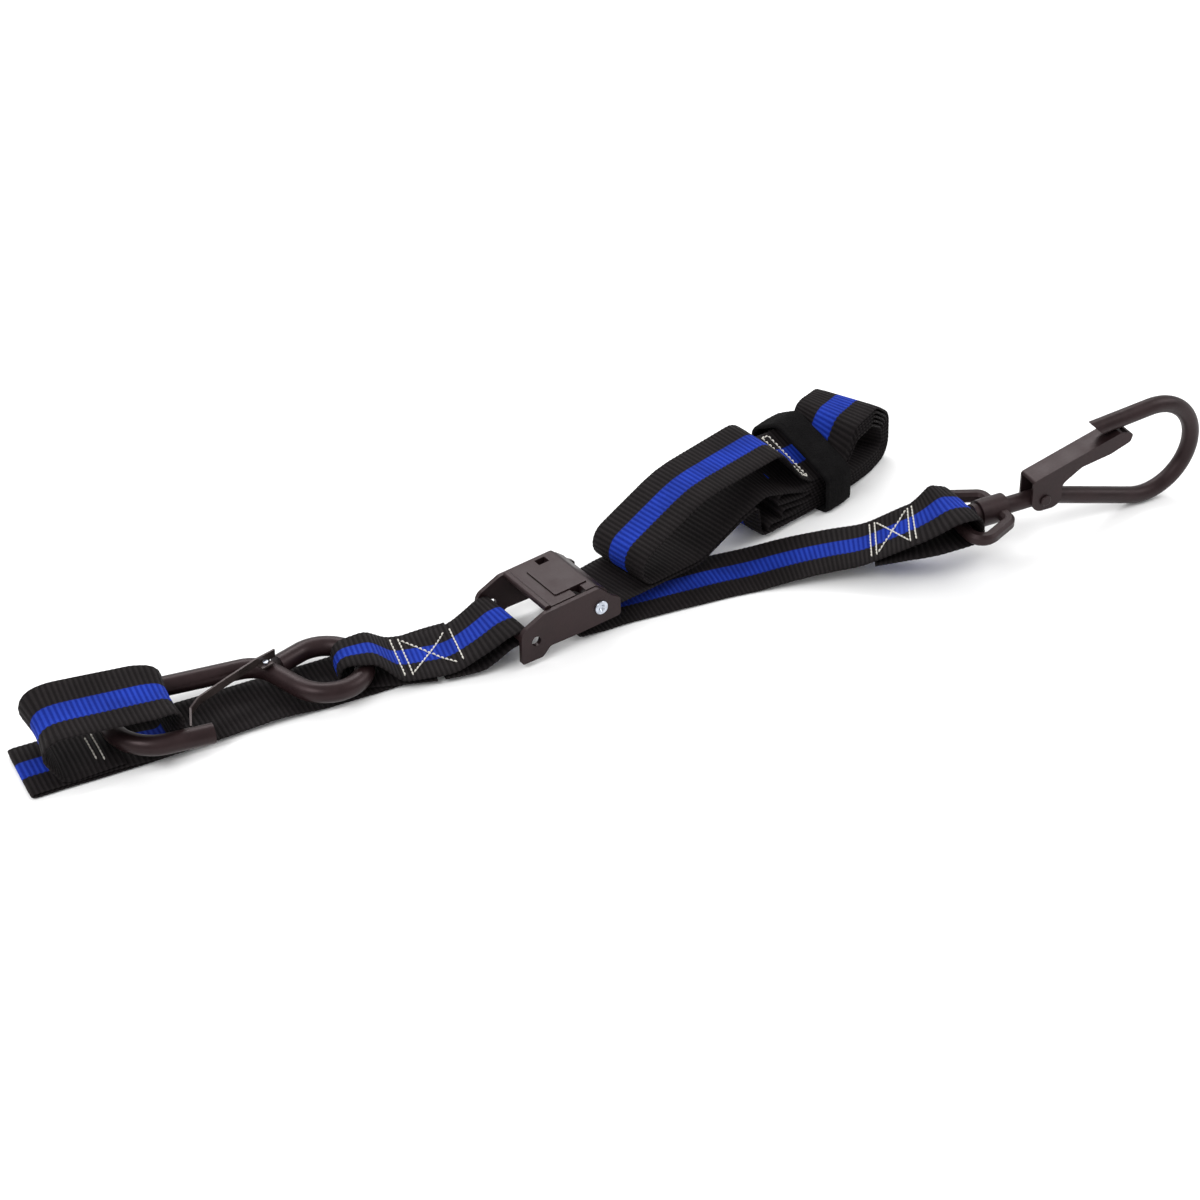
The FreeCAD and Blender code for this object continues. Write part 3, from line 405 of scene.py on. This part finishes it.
def finish_of(name):
    """One material of each finish, made when first asked for."""
    if name not in MATERIALS:
        hardware = settings().hardware
        makers = {
            "webbing": webbing_material,
            "thread": thread_material,
            "nap": nap_material,
            "coat": lambda: coated_metal_material("dark_coating", hardware.coat, (0.34, 0.50),
                                                  650.0, 0.00012, 0.35),
            "forged": lambda: coated_metal_material("dark_forged_coating", hardware.coat,
                                                    (0.36, 0.55), 420.0, 0.00022, 0.3),
            "dip": lambda: coated_metal_material("dipped_coating", hardware.dip, (0.30, 0.44),
                                                 380.0, 0.00018, 0.25),
            "zinc": lambda: bright_metal_material("bright_zinc", hardware.zinc, 0.28),
            "spring": lambda: coated_metal_material("spring_steel", (0.022, 0.017, 0.016),
                                                    (0.26, 0.38), 900.0, 0.00006, 0.6),
            "steel": lambda: bright_metal_material("plain_steel", (0.42, 0.42, 0.43), 0.4),
        }
        MATERIALS[name] = makers[name]()
    return MATERIALS[name]


# ------------------------------------------------------------------ strap routes


class Spine:
    """Plan curve of a strap: straight runs and bends, read by length in millimetres."""

    def __init__(self, x, y, heading, runs):
        self.runs = []
        heading = math.radians(heading)
        begin = 0.0
        for length, turn in runs:
            turn = math.radians(turn)
            self.runs.append((begin, length, turn, x, y, heading))
            x, y = self.advance(x, y, heading, length, turn, length)
            heading += turn
            begin += length

    @staticmethod
    def advance(x, y, heading, length, turn, travelled):
        if abs(turn) < 1e-9:
            return x + travelled * math.cos(heading), y + travelled * math.sin(heading)
        radius = length / turn
        angle = heading + turn * travelled / length
        return (x + radius * (math.sin(angle) - math.sin(heading)),
                y - radius * (math.cos(angle) - math.cos(heading)))

    def at(self, s):
        run = self.runs[0]
        for candidate in self.runs:
            if s >= candidate[0]:
                run = candidate
        begin, length, turn, x, y, heading = run
        travelled = s - begin
        px, py = self.advance(x, y, heading, length, turn, travelled)
        return px, py, heading + turn * travelled / length


def rounded_route(corners):
    """Points along a route whose corners are rounded; each corner is (s, z, radius, ...facts)."""
    points = [Vector(corners[0][:2])]
    marks = [0]
    for before, corner, after in zip(corners, corners[1:], corners[2:]):
        middle = Vector(corner[:2])
        arriving = (middle - Vector(before[:2])).normalized()
        leaving = (Vector(after[:2]) - middle).normalized()
        cross = arriving.x * leaving.y - arriving.y * leaving.x
        turn = math.atan2(cross, arriving.dot(leaving))
        reach = corner[2] * math.tan(abs(turn) / 2)
        start = middle - arriving * reach
        side = 1 if turn > 0 else -1
        hub = start + Vector((-arriving.y, arriving.x)) * side * corner[2]
        steps = max(2, math.ceil(abs(turn) / CORNER_STEP))
        spoke = start - hub
        first = len(points)
        for step in range(steps + 1):
            angle = turn * step / steps
            points.append(hub + Vector((spoke.x * math.cos(angle) - spoke.y * math.sin(angle),
                                        spoke.x * math.sin(angle) + spoke.y * math.cos(angle))))
        marks.append((first + len(points) - 1) // 2)
    points.append(Vector(corners[-1][:2]))
    marks.append(len(points) - 1)
    return points, marks


def lengths_along(points):
    total = [0.0]
    for before, after in zip(points, points[1:]):
        total.append(total[-1] + (after - before).length)
    return total


def read_along(total, values, distance):
    """Value at a distance, linear between the known places."""
    low, high = 0, len(total) - 1
    while high - low > 1:
        middle = (low + high) // 2
        if total[middle] <= distance:
            low = middle
        else:
            high = middle
    span = total[high] - total[low]
    share = 0.0 if span < 1e-9 else min(1.0, max(0.0, (distance - total[low]) / span))
    return values[low] * (1 - share) + values[high] * share


def soften(values, rounds):
    """Neighbour averaging that keeps both ends."""
    values = list(values)
    for _ in range(rounds):
        inner = [(values[i - 1] + values[i] * 2 + values[i + 1]) * 0.25
                 for i in range(1, len(values) - 1)]
        values = [values[0]] + inner + [values[-1]]
    return values


class Strap:
    """A strap laid along a route: stations with centre, across, normal, width and bow."""

    FACTS = ("roll", "shift", "width", "bow")

    def __init__(self, spine, corners, step, face=1, ease=10, ripple=0.0, seed=0.0):
        self.face = face
        self.stripe_swapped_from = None
        width = settings().strap.width / MM
        plain = (0.0, 0.0, width, 0.0)
        corners = [tuple(corner) + plain[len(corner) - 3:] for corner in corners]
        rough, marks = rounded_route(corners)
        total = lengths_along(rough)
        count = max(8, round(total[-1] / step))
        spots = [total[-1] * i / count for i in range(count + 1)]
        line = soften([read_along(total, rough, spot) for spot in spots], ease)
        mark_spots = [total[mark] for mark in marks]
        facts = {}
        for index, fact in enumerate(self.FACTS):
            known = [corner[3 + index] for corner in corners]
            facts[fact] = soften([read_along(mark_spots, known, spot) for spot in spots],
                                 FACT_ROUNDS)
        self.stations = []
        self.total = lengths_along(line)
        for i, point in enumerate(line):
            after = line[min(i + 1, count)]
            before = line[max(i - 1, 0)]
            slope = math.atan2(after.y - before.y, after.x - before.x)
            x, y, heading = spine.at(point.x)
            roll = math.radians(facts["roll"][i])
            if ripple:
                wave = noise.noise(Vector((self.total[i] * RIPPLE_RATE, seed, 0.0)))
                roll += ripple * wave * RIPPLE_TILT
                point = point + Vector((0.0, ripple * RIPPLE_RISE * max(0.0, wave)))
            ahead = Vector((math.cos(heading), math.sin(heading), 0.0))
            across = Vector((-math.sin(heading) * math.cos(roll),
                             math.cos(heading) * math.cos(roll), math.sin(roll)))
            tangent = (ahead * math.cos(slope) + Vector((0, 0, math.sin(slope)))).normalized()
            normal = tangent.cross(across).normalized()
            centre = place(x, y, point.y) + across * (facts["shift"][i] * MM)
            self.stations.append((centre, across, normal, facts["width"][i] * MM,
                                  facts["bow"][i] * MM))

    def section_point(self, index, share, lift):
        """A point of the section at one station; share runs from -1 to 1 across."""
        centre, across, normal, width, bow = self.stations[index]
        if abs(bow) < 1e-6:
            return centre + across * (share * width / 2) + normal * lift
        # sagitta and arc length give the bow's opening angle
        half = 2.0 * bow / (width / 2)
        half = max(-BOW_LIMIT, min(BOW_LIMIT, half))
        radius = (width / 2) / half
        sideways = math.sin(share * half)
        upward = math.cos(share * half)
        out = across * sideways + normal * upward
        return centre - normal * radius + out * (radius + lift)

    def surface(self, distance, offset, lift):
        """A point on the strap: distance along and offset across, in millimetres."""
        step = self.total[-1] / (len(self.stations) - 1)
        place_at = min(max(distance / step, 0.0), len(self.stations) - 1.001)
        index = int(place_at)
        share = place_at - index
        half = self.stations[index][3] / 2 / MM
        first = self.section_point(index, offset / half, lift)
        second = self.section_point(index + 1, offset / half, lift)
        return first.lerp(second, share)

    def striped_side(self, index):
        """Which side, 1 or -1 along the normal, carries the stripe at one station."""
        if self.stripe_swapped_from is not None and self.total[index] > self.stripe_swapped_from:
            return -self.face
        return self.face

    def length(self):
        return self.total[-1] * MM


def add_object(name, mesh, finish, body):
    piece = bpy.data.objects.new(name, mesh)
    bpy.context.scene.collection.objects.link(piece)
    piece.data.materials.append(finish_of(finish))
    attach(piece, body)
    return piece


# distance across that the lay map adds on the side without a stripe
PLAIN_SIDE = 10.0
SECTION = (-1.0, -0.975, -0.72, -0.36, 0.0, 0.36, 0.72, 0.975, 1.0)


def weave_strap(name, strap):
    """Mesh of one strap with real cross ribs and a saw-toothed edge, and its lay map."""
    sizes = settings().strap
    half_thick = sizes.thickness / 2
    mesh = bpy.data.meshes.new(name)
    form = bmesh.new()
    lay = form.loops.layers.uv.new("lay")
    rings = []
    spots = []
    inner = SECTION[1:-1]
    outline = [(share, 1.0) for share in inner] + [(1.0, 0.0)]
    outline += [(share, -1.0) for share in reversed(inner)] + [(-1.0, 0.0)]
    sides = [side for _, side in outline]
    for index in range(len(strap.stations)):
        distance = strap.total[index] * MM
        rib = 0.5 + 0.5 * math.sin(2 * math.pi * distance / sizes.rib_pitch)
        swell = half_thick - sizes.rib_height + sizes.rib_height * 2 * rib
        trim = 1.0 - SAW_DEPTH * (1.0 - rib)
        ring = []
        where = []
        for share, side in outline:
            edge = EDGE_THINNING if abs(share) > 0.9 and side else 1.0
            point = strap.section_point(index, share * trim, side * swell * edge)
            ring.append(form.verts.new(point))
            where.append((distance / LAY_UNIT, share * sizes.width / 2 / LAY_UNIT))
        rings.append(ring)
        spots.append(where)
    around = len(rings[0])
    for index in range(len(rings) - 1):
        striped = strap.striped_side(index)
        for k in range(around):
            j = (k + 1) % around
            face = form.faces.new((rings[index][k], rings[index][j], rings[index + 1][j],
                                   rings[index + 1][k]))
            corners = (spots[index][k], spots[index][j], spots[index + 1][j], spots[index + 1][k])
            plain = sides[k] * striped < 0 or sides[j] * striped < 0
            for loop, uv in zip(face.loops, corners):
                loop[lay].uv = (uv[0], uv[1] + (PLAIN_SIDE if plain else 0.0))
            face.smooth = True
    first = (list(reversed(rings[0])), list(reversed(spots[0])))
    for ring, where in (first, (rings[-1], spots[-1])):
        face = form.faces.new(ring)
        for loop, uv in zip(face.loops, where):
            loop[lay].uv = uv
    bmesh.ops.recalc_face_normals(form, faces=form.faces)
    form.to_mesh(mesh)
    form.free()
    return mesh


def strap_step():
    return settings().strap.rib_pitch / MM / STATIONS_PER_RIB


def lay_strap(name, strap, replaced):
    piece = add_object(name, weave_strap(name, strap), "webbing", ROOT)
    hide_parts(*replaced)
    strap.length()
    return piece


# Corner lists: length along the spine, height, corner radius, then roll in degrees,
# sideways shift, width and bow where they differ from a flat strap.

SOFT_SPINE = Spine(-308.0, -22.5, 4, [(260.0, 0)])
SOFT_ROUTE = [
    (228, 0.9, 0), (150, 0.9, 30), (125, 2.2, 40, -4), (92, 1.5, 40, -1.5),
    (60, 0.9, 30), (-1.2, 0.85, 1.2), (-1.2, 2.95, 1.2), (40, 2.9, 8), (70, 3.4, 5, 0, -5, 32.4, 0),
    (75.5, 29.6, 7, 9, -5.0, 33.0, 2.0), (62, 31.4, 10, 10, -5.0, 38, 2.0),
    (22, 31.6, 12, 10, -1.5, 38, 3.0),
    (6.5, 29.5, 8, 8, -0.5, 38, 3.0), (16, 5.2, 5, 0, -1, 37, 1.0), (46, 4.7, 0),
]

FIXED_SPINE = Spine(-150.0, -11.0, -5, [(68.0, 0), (22.3, 16), (10.0, 0)])
NECK = 20.5
FIXED_ROUTE = [
    (50, 2.7, 0), (16, 2.7, 8, 0, 0, 27), (3.2, 2.7, 4.5, 0, -0.5, NECK),
    (3.0, 16.6, 5.5, 0, -0.5, NECK),
    (21, 16.6, 8, 0, 0, 28), (33, 6.2, 9, 0, 0, 38), (60, 5.0, 22, 0, 0, 38),
    (84, 18.6, 8, -2.5, 0, 38), (94.45, 19.75, 4.149, -3, 0, 38), (94.45, 11.45, 4.149, -3, 0, 38),
    (86, 11.4, 6, -3, 0, 38), (73, 2.8, 7, -1, 0, 38), (54, 2.75, 0),
]

MAIN_SPINE = Spine(-33.76, -11.28, 11, [(16.0, -2), (30.0, -9), (44.0, 0), (90.0, -25.5), (21.0, 0),
                                        (22.0, 29), (30.0, 0)])
MAIN_ROUTE = [
    (182, 11.8, 0), (204, 17.2, 20), (218, 18.9, 5, 0, 0, 35), (233.4, 18.9, 4.5, 0, 0, 33.4),
    (231.2, 33.8, 6, 0, 0, 33.6), (218, 37.0, 8, 0, 0, 37), (202, 26.0, 16), (176, 11.6, 34),
    (116, 0.85, 90), (24, 0.85, 10), (5.6, 1.9, 4.2, -2, 0, 38), (5.6, 10.2, 4.1, -3, 0, 38),
    (21, 11.1, 0, -3, 0, 38),
]

TAIL_SPINE = Spine(-20.6, -8.9, 9, [(15.0, 11), (150.0, 0), (65.0, 22), (20.0, 0)])
TAIL_START = 165.0
LEVEL_STEP = 2.75
LEVEL_ROLL = 24.0 / 9


def level(s, k, radius=6.0):
    """A corner inside the closure band: level k of the stack, tilted with its height."""
    return (s, 3.2 + LEVEL_STEP * k, radius, LEVEL_ROLL * k)


def tail_route():
    """The tail: lead, five nested turns, the big loop and the crumpled folds between."""
    route = [
        (-165, 10.6, 0, -3), (-150, 11.9, 20, -3), (-132, 11.4, 30), (-91, 8.8, 22), (-61, 21.4, 10),
        (-48, 25.0, 3.2), (-44.5, 4.4, 4), level(-16, 0, 8), level(20, 0, 14),
        (44, 0.9, 25), (66.2, 0.9, 9), (63.4, 27, 13), (47, 41.0, 12), (25.5, 41.4, 8, 4), level(17.5, 9, 7),
        level(-5, 9, 10), (-14, 31.5, 8, 14), (-31, 51.2, 10, 3), (-88, 48.6, 55), (-139, 27.5, 10),
        (-127.5, 13.6, 6.5), (-90, 11.4, 22), (-60, 24.8, 14), (-42, 31.0, 10, 6), level(-14, 8, 10),
        level(17.0, 8, 7), (26, 39.0, 7, 3), (46, 38.7, 10), (61, 26, 10), (64.0, 3.1, 7), (44, 3.1, 20),
        level(20, 1, 12), level(-12, 1, 10), (-38, 3.6, 2.2), (-42, 10.6, 2.6, 4), level(-20, 2, 9),
        level(20, 2, 12), (44, 5.3, 20), (61.7, 5.3, 6), (58.8, 25, 9), (45, 36.4, 9), (26.5, 36.6, 7, 3),
        level(16.5, 7, 7), level(-10, 7, 8), (-30, 28.6, 2.6, 12), (-36, 22.0, 2.6, 10), level(-14, 6, 9),
        level(16.0, 6, 7), (27, 34.2, 6, 3), (44, 34.0, 8), (56.8, 24, 8), (59.5, 7.5, 5), (44, 7.5, 18),
        level(21, 3, 10), level(-10, 3, 8), (-28, 10.2, 2.0, 8), (-31, 17.4, 2.4, 10), level(-12, 4, 8),
        level(21, 4, 10), (44, 9.8, 16), (57.2, 9.8, 5), (54.6, 23, 7), (43, 31.7, 7), (28, 31.8, 5, 3),
        level(17, 5, 6), level(-6, 5, 0),
    ]
    return [(corner[0] + TAIL_START,) + tuple(corner[1:]) for corner in route]


STRAPS = {}


def make_straps():
    step = strap_step()
    STRAPS["soft"] = Strap(SOFT_SPINE, SOFT_ROUTE, step, 1, 16, 0.5, 1.0)
    # from this length on the stripe is carried on the strap's other face; the strap's shape has no turn
    # there
    STRAPS["soft"].stripe_swapped_from = distance_at(STRAPS["soft"], -238.0, -22.0, 6.0)
    STRAPS["fixed"] = Strap(FIXED_SPINE, FIXED_ROUTE, step, 1, 14)
    STRAPS["main"] = Strap(MAIN_SPINE, MAIN_ROUTE, step, -1, 16, 0.6, 3.0)
    STRAPS["tail"] = Strap(TAIL_SPINE, tail_route(), step, -1, 12, 0.0, 5.0)


# ------------------------------------------------------------------ stitching


THREAD_GIRTH = (0.35, 0.85, 1.0, 0.85, 0.35)
THREAD_RISE = (-0.25, 0.28, 0.45, 0.28, -0.25)


def sew(form, points, radius):
    """One stitch: a short round thread that sinks in at both ends."""
    ahead = (points[-1] - points[0]).normalized()
    side = ahead.orthogonal().normalized()
    upward = ahead.cross(side)
    rings = []
    for point, share in zip(points, THREAD_GIRTH):
        ring = []
        for k in range(THREAD_SIDES):
            angle = 2 * math.pi * k / THREAD_SIDES
            spoke = side * math.cos(angle) + upward * math.sin(angle)
            ring.append(form.verts.new(point + spoke * radius * share))
        rings.append(ring)
    for first, second in zip(rings, rings[1:]):
        for k in range(THREAD_SIDES):
            j = (k + 1) % THREAD_SIDES
            face = form.faces.new((first[k], first[j], second[j], second[k]))
            face.smooth = True
    form.faces.new(list(reversed(rings[0])))
    form.faces.new(rings[-1])


def sew_line(form, strap, start, end, seed, side):
    """A row of stitches from one (along, across) spot to another, on one side of a strap."""
    stitch = settings().stitch
    run = math.hypot(end[0] - start[0], end[1] - start[1])
    pitch = stitch.length / MM + STITCH_GAP
    count = max(1, round(run / pitch))
    lift = settings().strap.thickness / 2 + settings().strap.rib_height * 0.6
    for index in range(count):
        points = []
        for k, rise in enumerate(THREAD_RISE):
            share = (index + 0.04 + 0.92 * k / (len(THREAD_RISE) - 1)) / count
            sway = STITCH_STRAY * noise.noise(Vector((seed, index * 0.7, 0.3)))
            along = start[0] + (end[0] - start[0]) * share + sway
            across = start[1] + (end[1] - start[1]) * share + sway
            points.append(strap.surface(along, across, side * (lift + rise * stitch.thread)))
        sew(form, points, stitch.thread / 2)


def stitch_piece(name, strap, lines, replaced, side=1):
    form = bmesh.new()
    for seed, (start, end) in enumerate(lines):
        sew_line(form, strap, start, end, seed + 0.5, side)
    mesh = bpy.data.meshes.new(name)
    bmesh.ops.recalc_face_normals(form, faces=form.faces)
    form.to_mesh(mesh)
    form.free()
    piece = add_object(name, mesh, "thread", ROOT)
    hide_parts(replaced)
    return piece


def distance_at(strap, x, y, z):
    """Length along a strap at the station nearest a point."""
    target = place(x, y, z)
    best = min(range(len(strap.stations)), key=lambda i: (strap.stations[i][0] - target).length)
    return strap.total[best]


def shifted(lines, middle):
    return [((a + middle, b), (c + middle, d)) for a, b, c, d in lines]


# ------------------------------------------------------------------ operators


class TIEDOWN_OT_soft_loop(Operator):
    """Lay the soft loop strap with its arched eye over the S-hook"""
    bl_idname = "tiedown.soft_loop"
    bl_label = "Soft loop strap"

    def execute(self, context):
        make_straps()
        lay_strap("soft_loop_weave", STRAPS["soft"], ["soft_loop_strap", "soft_loop_eye"])
        return {"FINISHED"}


class TIEDOWN_OT_fixed_strap(Operator):
    """Lay the fixed strap between the S-hook and the buckle's front bar"""
    bl_idname = "tiedown.fixed_strap"
    bl_label = "Fixed strap"

    def execute(self, context):
        lay_strap("fixed_strap_weave", STRAPS["fixed"], ["fixed_webbing"])
        return {"FINISHED"}


class TIEDOWN_OT_adjusting_strap(Operator):
    """Lay the adjusting strap: swivel loop, floor run, turn in the buckle and bundled tail"""
    bl_idname = "tiedown.adjusting_strap"
    bl_label = "Adjusting strap"

    def execute(self, context):
        lay_strap("main_strap_weave", STRAPS["main"], ["main_webbing", "buckle_turn_webbing"])
        lay_strap("tail_strap_weave", STRAPS["tail"],
                  ["tail_lead_webbing", "tail_loop_webbing", "tail_bundle_webbing",
                   "tail_roll_outer", "tail_roll_inner"])
        return {"FINISHED"}


class TIEDOWN_OT_stitching(Operator):
    """Sew the box stitches, the loop rows and the band tack"""
    bl_idname = "tiedown.stitching"
    bl_label = "Stitching"

    def execute(self, context):
        fixed = STRAPS["fixed"]
        middle = distance_at(fixed, -100.5, -15.3, 5.2)
        box = [(-16.5, -15.5, -16.5, 15.5), (-12.0, -15.5, -12.0, 15.5), (15.0, -13.5, 15.0, 13.5),
               (-11.0, -13.5, 11.5, 13.0), (-11.0, 13.5, 11.5, -13.0)]
        stitch_piece("fixed_strap_stitches", fixed, shifted(box, middle), "fixed_webbing_stitching")
        soft = STRAPS["soft"]
        rows = [(-12, -10, -12, 8), (-8.5, -12, -8.5, 12)]
        stitch_piece("soft_loop_stitches", soft, shifted(rows, soft.total[-1]),
                     "soft_loop_stitching")
        main = STRAPS["main"]
        middle = distance_at(main, 153.0, -30.8, 20.5)
        box = [(-12.5, -15, -12.5, 15), (-9.5, -15, -9.5, 15), (9.5, -15, 9.5, 15),
               (12.5, -15, 12.5, 15),
               (-8.5, -13.5, 8.5, 13.5), (-8.5, 13.5, 8.5, -13.5)]
        stitch_piece("swivel_loop_stitches", main, shifted(box, middle),
                     "swivel_loop_stitching", -1)
        tail = STRAPS["tail"]
        x, y, _ = TAIL_SPINE.at(TAIL_START - 9.0)
        middle = distance_at(tail, x, y, 29.5)
        rows = [(-2.4, -16, -2.4, 16), (2.4, -16, 2.4, 16), (-2.4, -16, 2.4, -16),
                (-2.4, 16, 2.4, 16)]
        stitch_piece("band_stitches", tail, shifted(rows, middle), "band_stitching", -1)
        return {"FINISHED"}


# the closure band's middle line: distance across, height and corner radius, in millimetres
BAND_OUTLINE = ((-3.6, 1.3, 2.6), (-3.2, 21.4, 5.0), (34.0, 40.6, 8.0), (50.0, 31.5, 7.0),
                (49.4, 1.3, 3.0))


class TIEDOWN_OT_closure_band(Operator):
    """Wrap the napped closure band round the hank"""
    bl_idname = "tiedown.closure_band"
    bl_label = "Closure band"

    def execute(self, context):
        band = settings().band
        near, far = BAND_OUTLINE[0], BAND_OUTLINE[-1]
        start = ((near[0] + far[0]) / 2, near[1], 0)
        rough, _ = rounded_route([start, *BAND_OUTLINE, start])
        total = lengths_along(rough)
        count = BAND_POINTS
        line = [read_along(total, rough, total[-1] * i / count) for i in range(count)]
        hank = Matrix.Translation(place(*BAND_CORNER)) @ Matrix.Rotation(BAND_HEADING, 4, "Z")
        wide = band.length / MM
        form = bmesh.new()
        rings = []
        for index, point in enumerate(line):
            before = line[index - 1]
            after = line[(index + 1) % count]
            along = (after - before).normalized()
            outward = Vector((-along.y, along.x))
            section = []
            shares = [k / (BAND_COLUMNS - 1) for k in range(BAND_COLUMNS)]
            for side, order in ((1, shares), (-1, list(reversed(shares)))):
                for share in order:
                    s = share * wide
                    spot = Vector((s * 0.35, index * 0.4, side * 2.0))
                    sway = 0.5 * noise.noise(Vector((index * 0.06, 4.0, 1.0)))
                    crown = 0.5 * math.sin(math.pi * share)
                    curl = 0.22 if share in (0.0, 1.0) else 1.0
                    lift = side * band.thickness / MM / 2 * curl + crown
                    lift += side * band.nap / MM * noise.noise(spot * 2.2)
                    out = point + outward * lift
                    section.append(form.verts.new(hank @ (Vector((s + sway, out.x, out.y)) * MM)))
            rings.append(section)
        around = len(rings[0])
        for index in range(count):
            first = rings[index]
            second = rings[(index + 1) % count]
            for k in range(around):
                j = (k + 1) % around
                face = form.faces.new((first[k], first[j], second[j], second[k]))
                face.smooth = True
        bmesh.ops.recalc_face_normals(form, faces=form.faces)
        mesh = bpy.data.meshes.new("closure_band_tape")
        form.to_mesh(mesh)
        form.free()
        piece = add_object("closure_band_tape", mesh, "nap", ROOT)
        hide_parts("closure_band")
        return {"FINISHED"}


NODE_FINISHES = {
    "buckle_near_plate": "coat", "buckle_far_plate": "coat", "front_bar": "coat", "base_bar": "coat",
    "cam_lever": "coat", "cam_pin": "zinc", "cam_spring": "steel", "s_hook_core": "steel",
    "s_hook_coating": "dip", "keeper": "spring", "keeper_rivet": "zinc", "swivel_eye": "forged",
    "snap_hook_rod": "forged", "gate": "coat", "gate_rivet": "coat",
}
ROUNDED = ("buckle_near_plate", "buckle_far_plate", "cam_lever", "gate")


class TIEDOWN_OT_hardware(Operator):
    """Finish the buckle, hooks, swivel and rivets"""
    bl_idname = "tiedown.hardware"
    bl_label = "Hardware finishes"

    def execute(self, context):
        for name, finish in NODE_FINISHES.items():
            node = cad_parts[name]
            node.data.materials.clear()
            node.data.materials.append(finish_of(finish))
        coil = add_object("gate_spring_coil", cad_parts["gate_spring"].data.copy(), "steel",
                          "snap_hook")
        coil.matrix_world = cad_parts["gate_spring"].matrix_world
        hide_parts("gate_spring")
        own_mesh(coil)
        for name in ROUNDED:
            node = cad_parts[name]
            edge = node.modifiers.new("soft_edges", "BEVEL")
            edge.width = settings().hardware.edge_round
            edge.segments = 2
            edge.limit_method = "ANGLE"
            edge.angle_limit = math.radians(40)
        return {"FINISHED"}


def area_light(name, location, size_x, size_y, power):
    """A rectangular lamp that faces the middle of the floor."""
    data = bpy.data.lights.new(name, "AREA")
    data.shape = "RECTANGLE"
    data.size = size_x
    data.size_y = size_y
    data.energy = power
    lamp = bpy.data.objects.new(name, data)
    bpy.context.scene.collection.objects.link(lamp)
    lamp.location = location
    lamp.rotation_euler = (-Vector(location)).to_track_quat("-Z", "Y").to_euler()


class TIEDOWN_OT_stage(Operator):
    """Set up the paper floor, the studio lights and the camera"""
    bl_idname = "tiedown.stage"
    bl_label = "Stage"

    def execute(self, context):
        stage = settings().stage
        form = bmesh.new()
        bmesh.ops.create_grid(form, x_segments=8, y_segments=8, size=FLOOR_SIZE)
        mesh = bpy.data.meshes.new("paper_floor")
        form.to_mesh(mesh)
        form.free()
        paper = bpy.data.objects.new("paper_floor", mesh)
        bpy.context.scene.collection.objects.link(paper)
        paper.location.z = -FLOOR_GAP
        mesh.materials.append(paper_material(stage.floor))

        scene = bpy.context.scene
        world = bpy.data.worlds.new("studio_air")
        scene.world = world
        world.use_nodes = True
        air = world.node_tree.nodes["Background"]
        air.inputs["Color"].default_value = (1.0, 1.0, 1.0, 1.0)
        air.inputs["Strength"].default_value = AIR_STRENGTH
        area_light("softbox_left", (-1.1, -0.5, 1.3), 1.0, 0.7, 16.0)
        area_light("softbox_back", (0.2, 1.2, 1.2), 1.6, 0.5, 17.0)
        area_light("softbox_right", (1.3, -0.3, 1.0), 0.8, 0.8, 9.0)

        data = bpy.data.cameras.new("studio_camera")
        data.lens = stage.lens
        data.sensor_width = SENSOR_WIDTH
        camera = bpy.data.objects.new("studio_camera", data)
        scene.collection.objects.link(camera)
        a, e = stage.azimuth, stage.elevation
        back = Vector((math.sin(a) * math.cos(e), -math.cos(a) * math.cos(e), math.sin(e)))
        camera.location = place(0, 0, 0) + back * stage.distance
        camera.rotation_euler = (-back).to_track_quat("-Z", "Y").to_euler()
        data.clip_end = VIEW_DEPTH
        scene.camera = camera
        scene.view_settings.view_transform = "Standard"
        return {"FINISHED"}


class TIEDOWN_PT_panel(Panel):
    """Sidebar list of the tie-down's pieces"""
    bl_idname = "TIEDOWN_PT_panel"
    bl_label = "Tie-Down"
    bl_space_type = "VIEW_3D"
    bl_region_type = "UI"
    bl_category = "Tie-Down"

    def draw(self, context):
        for operator in OPERATORS:
            self.layout.operator(operator.bl_idname)


OPERATORS = (
    TIEDOWN_OT_soft_loop,
    TIEDOWN_OT_fixed_strap,
    TIEDOWN_OT_adjusting_strap,
    TIEDOWN_OT_stitching,
    TIEDOWN_OT_closure_band,
    TIEDOWN_OT_hardware,
    TIEDOWN_OT_stage,
)
GROUPS = (StrapSettings, StitchSettings, HardwareSettings, BandSettings, StageSettings,
          TieDownSettings)


def register():
    for group in GROUPS:
        bpy.utils.register_class(group)
    for operator in OPERATORS:
        bpy.utils.register_class(operator)
    bpy.utils.register_class(TIEDOWN_PT_panel)
    bpy.types.Scene.tie_down = PointerProperty(type=TieDownSettings, name="Tie-down",
                                               description="Settings of the tie-down")


def unregister():
    del bpy.types.Scene.tie_down
    bpy.utils.unregister_class(TIEDOWN_PT_panel)
    for operator in reversed(OPERATORS):
        bpy.utils.unregister_class(operator)
    for group in reversed(GROUPS):
        bpy.utils.unregister_class(group)


def main():
    register()
    for operator in OPERATORS:
        family, name = operator.bl_idname.split(".")
        getattr(getattr(bpy.ops, family), name)()
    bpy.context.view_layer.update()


if __name__ == "__main__":
    main()
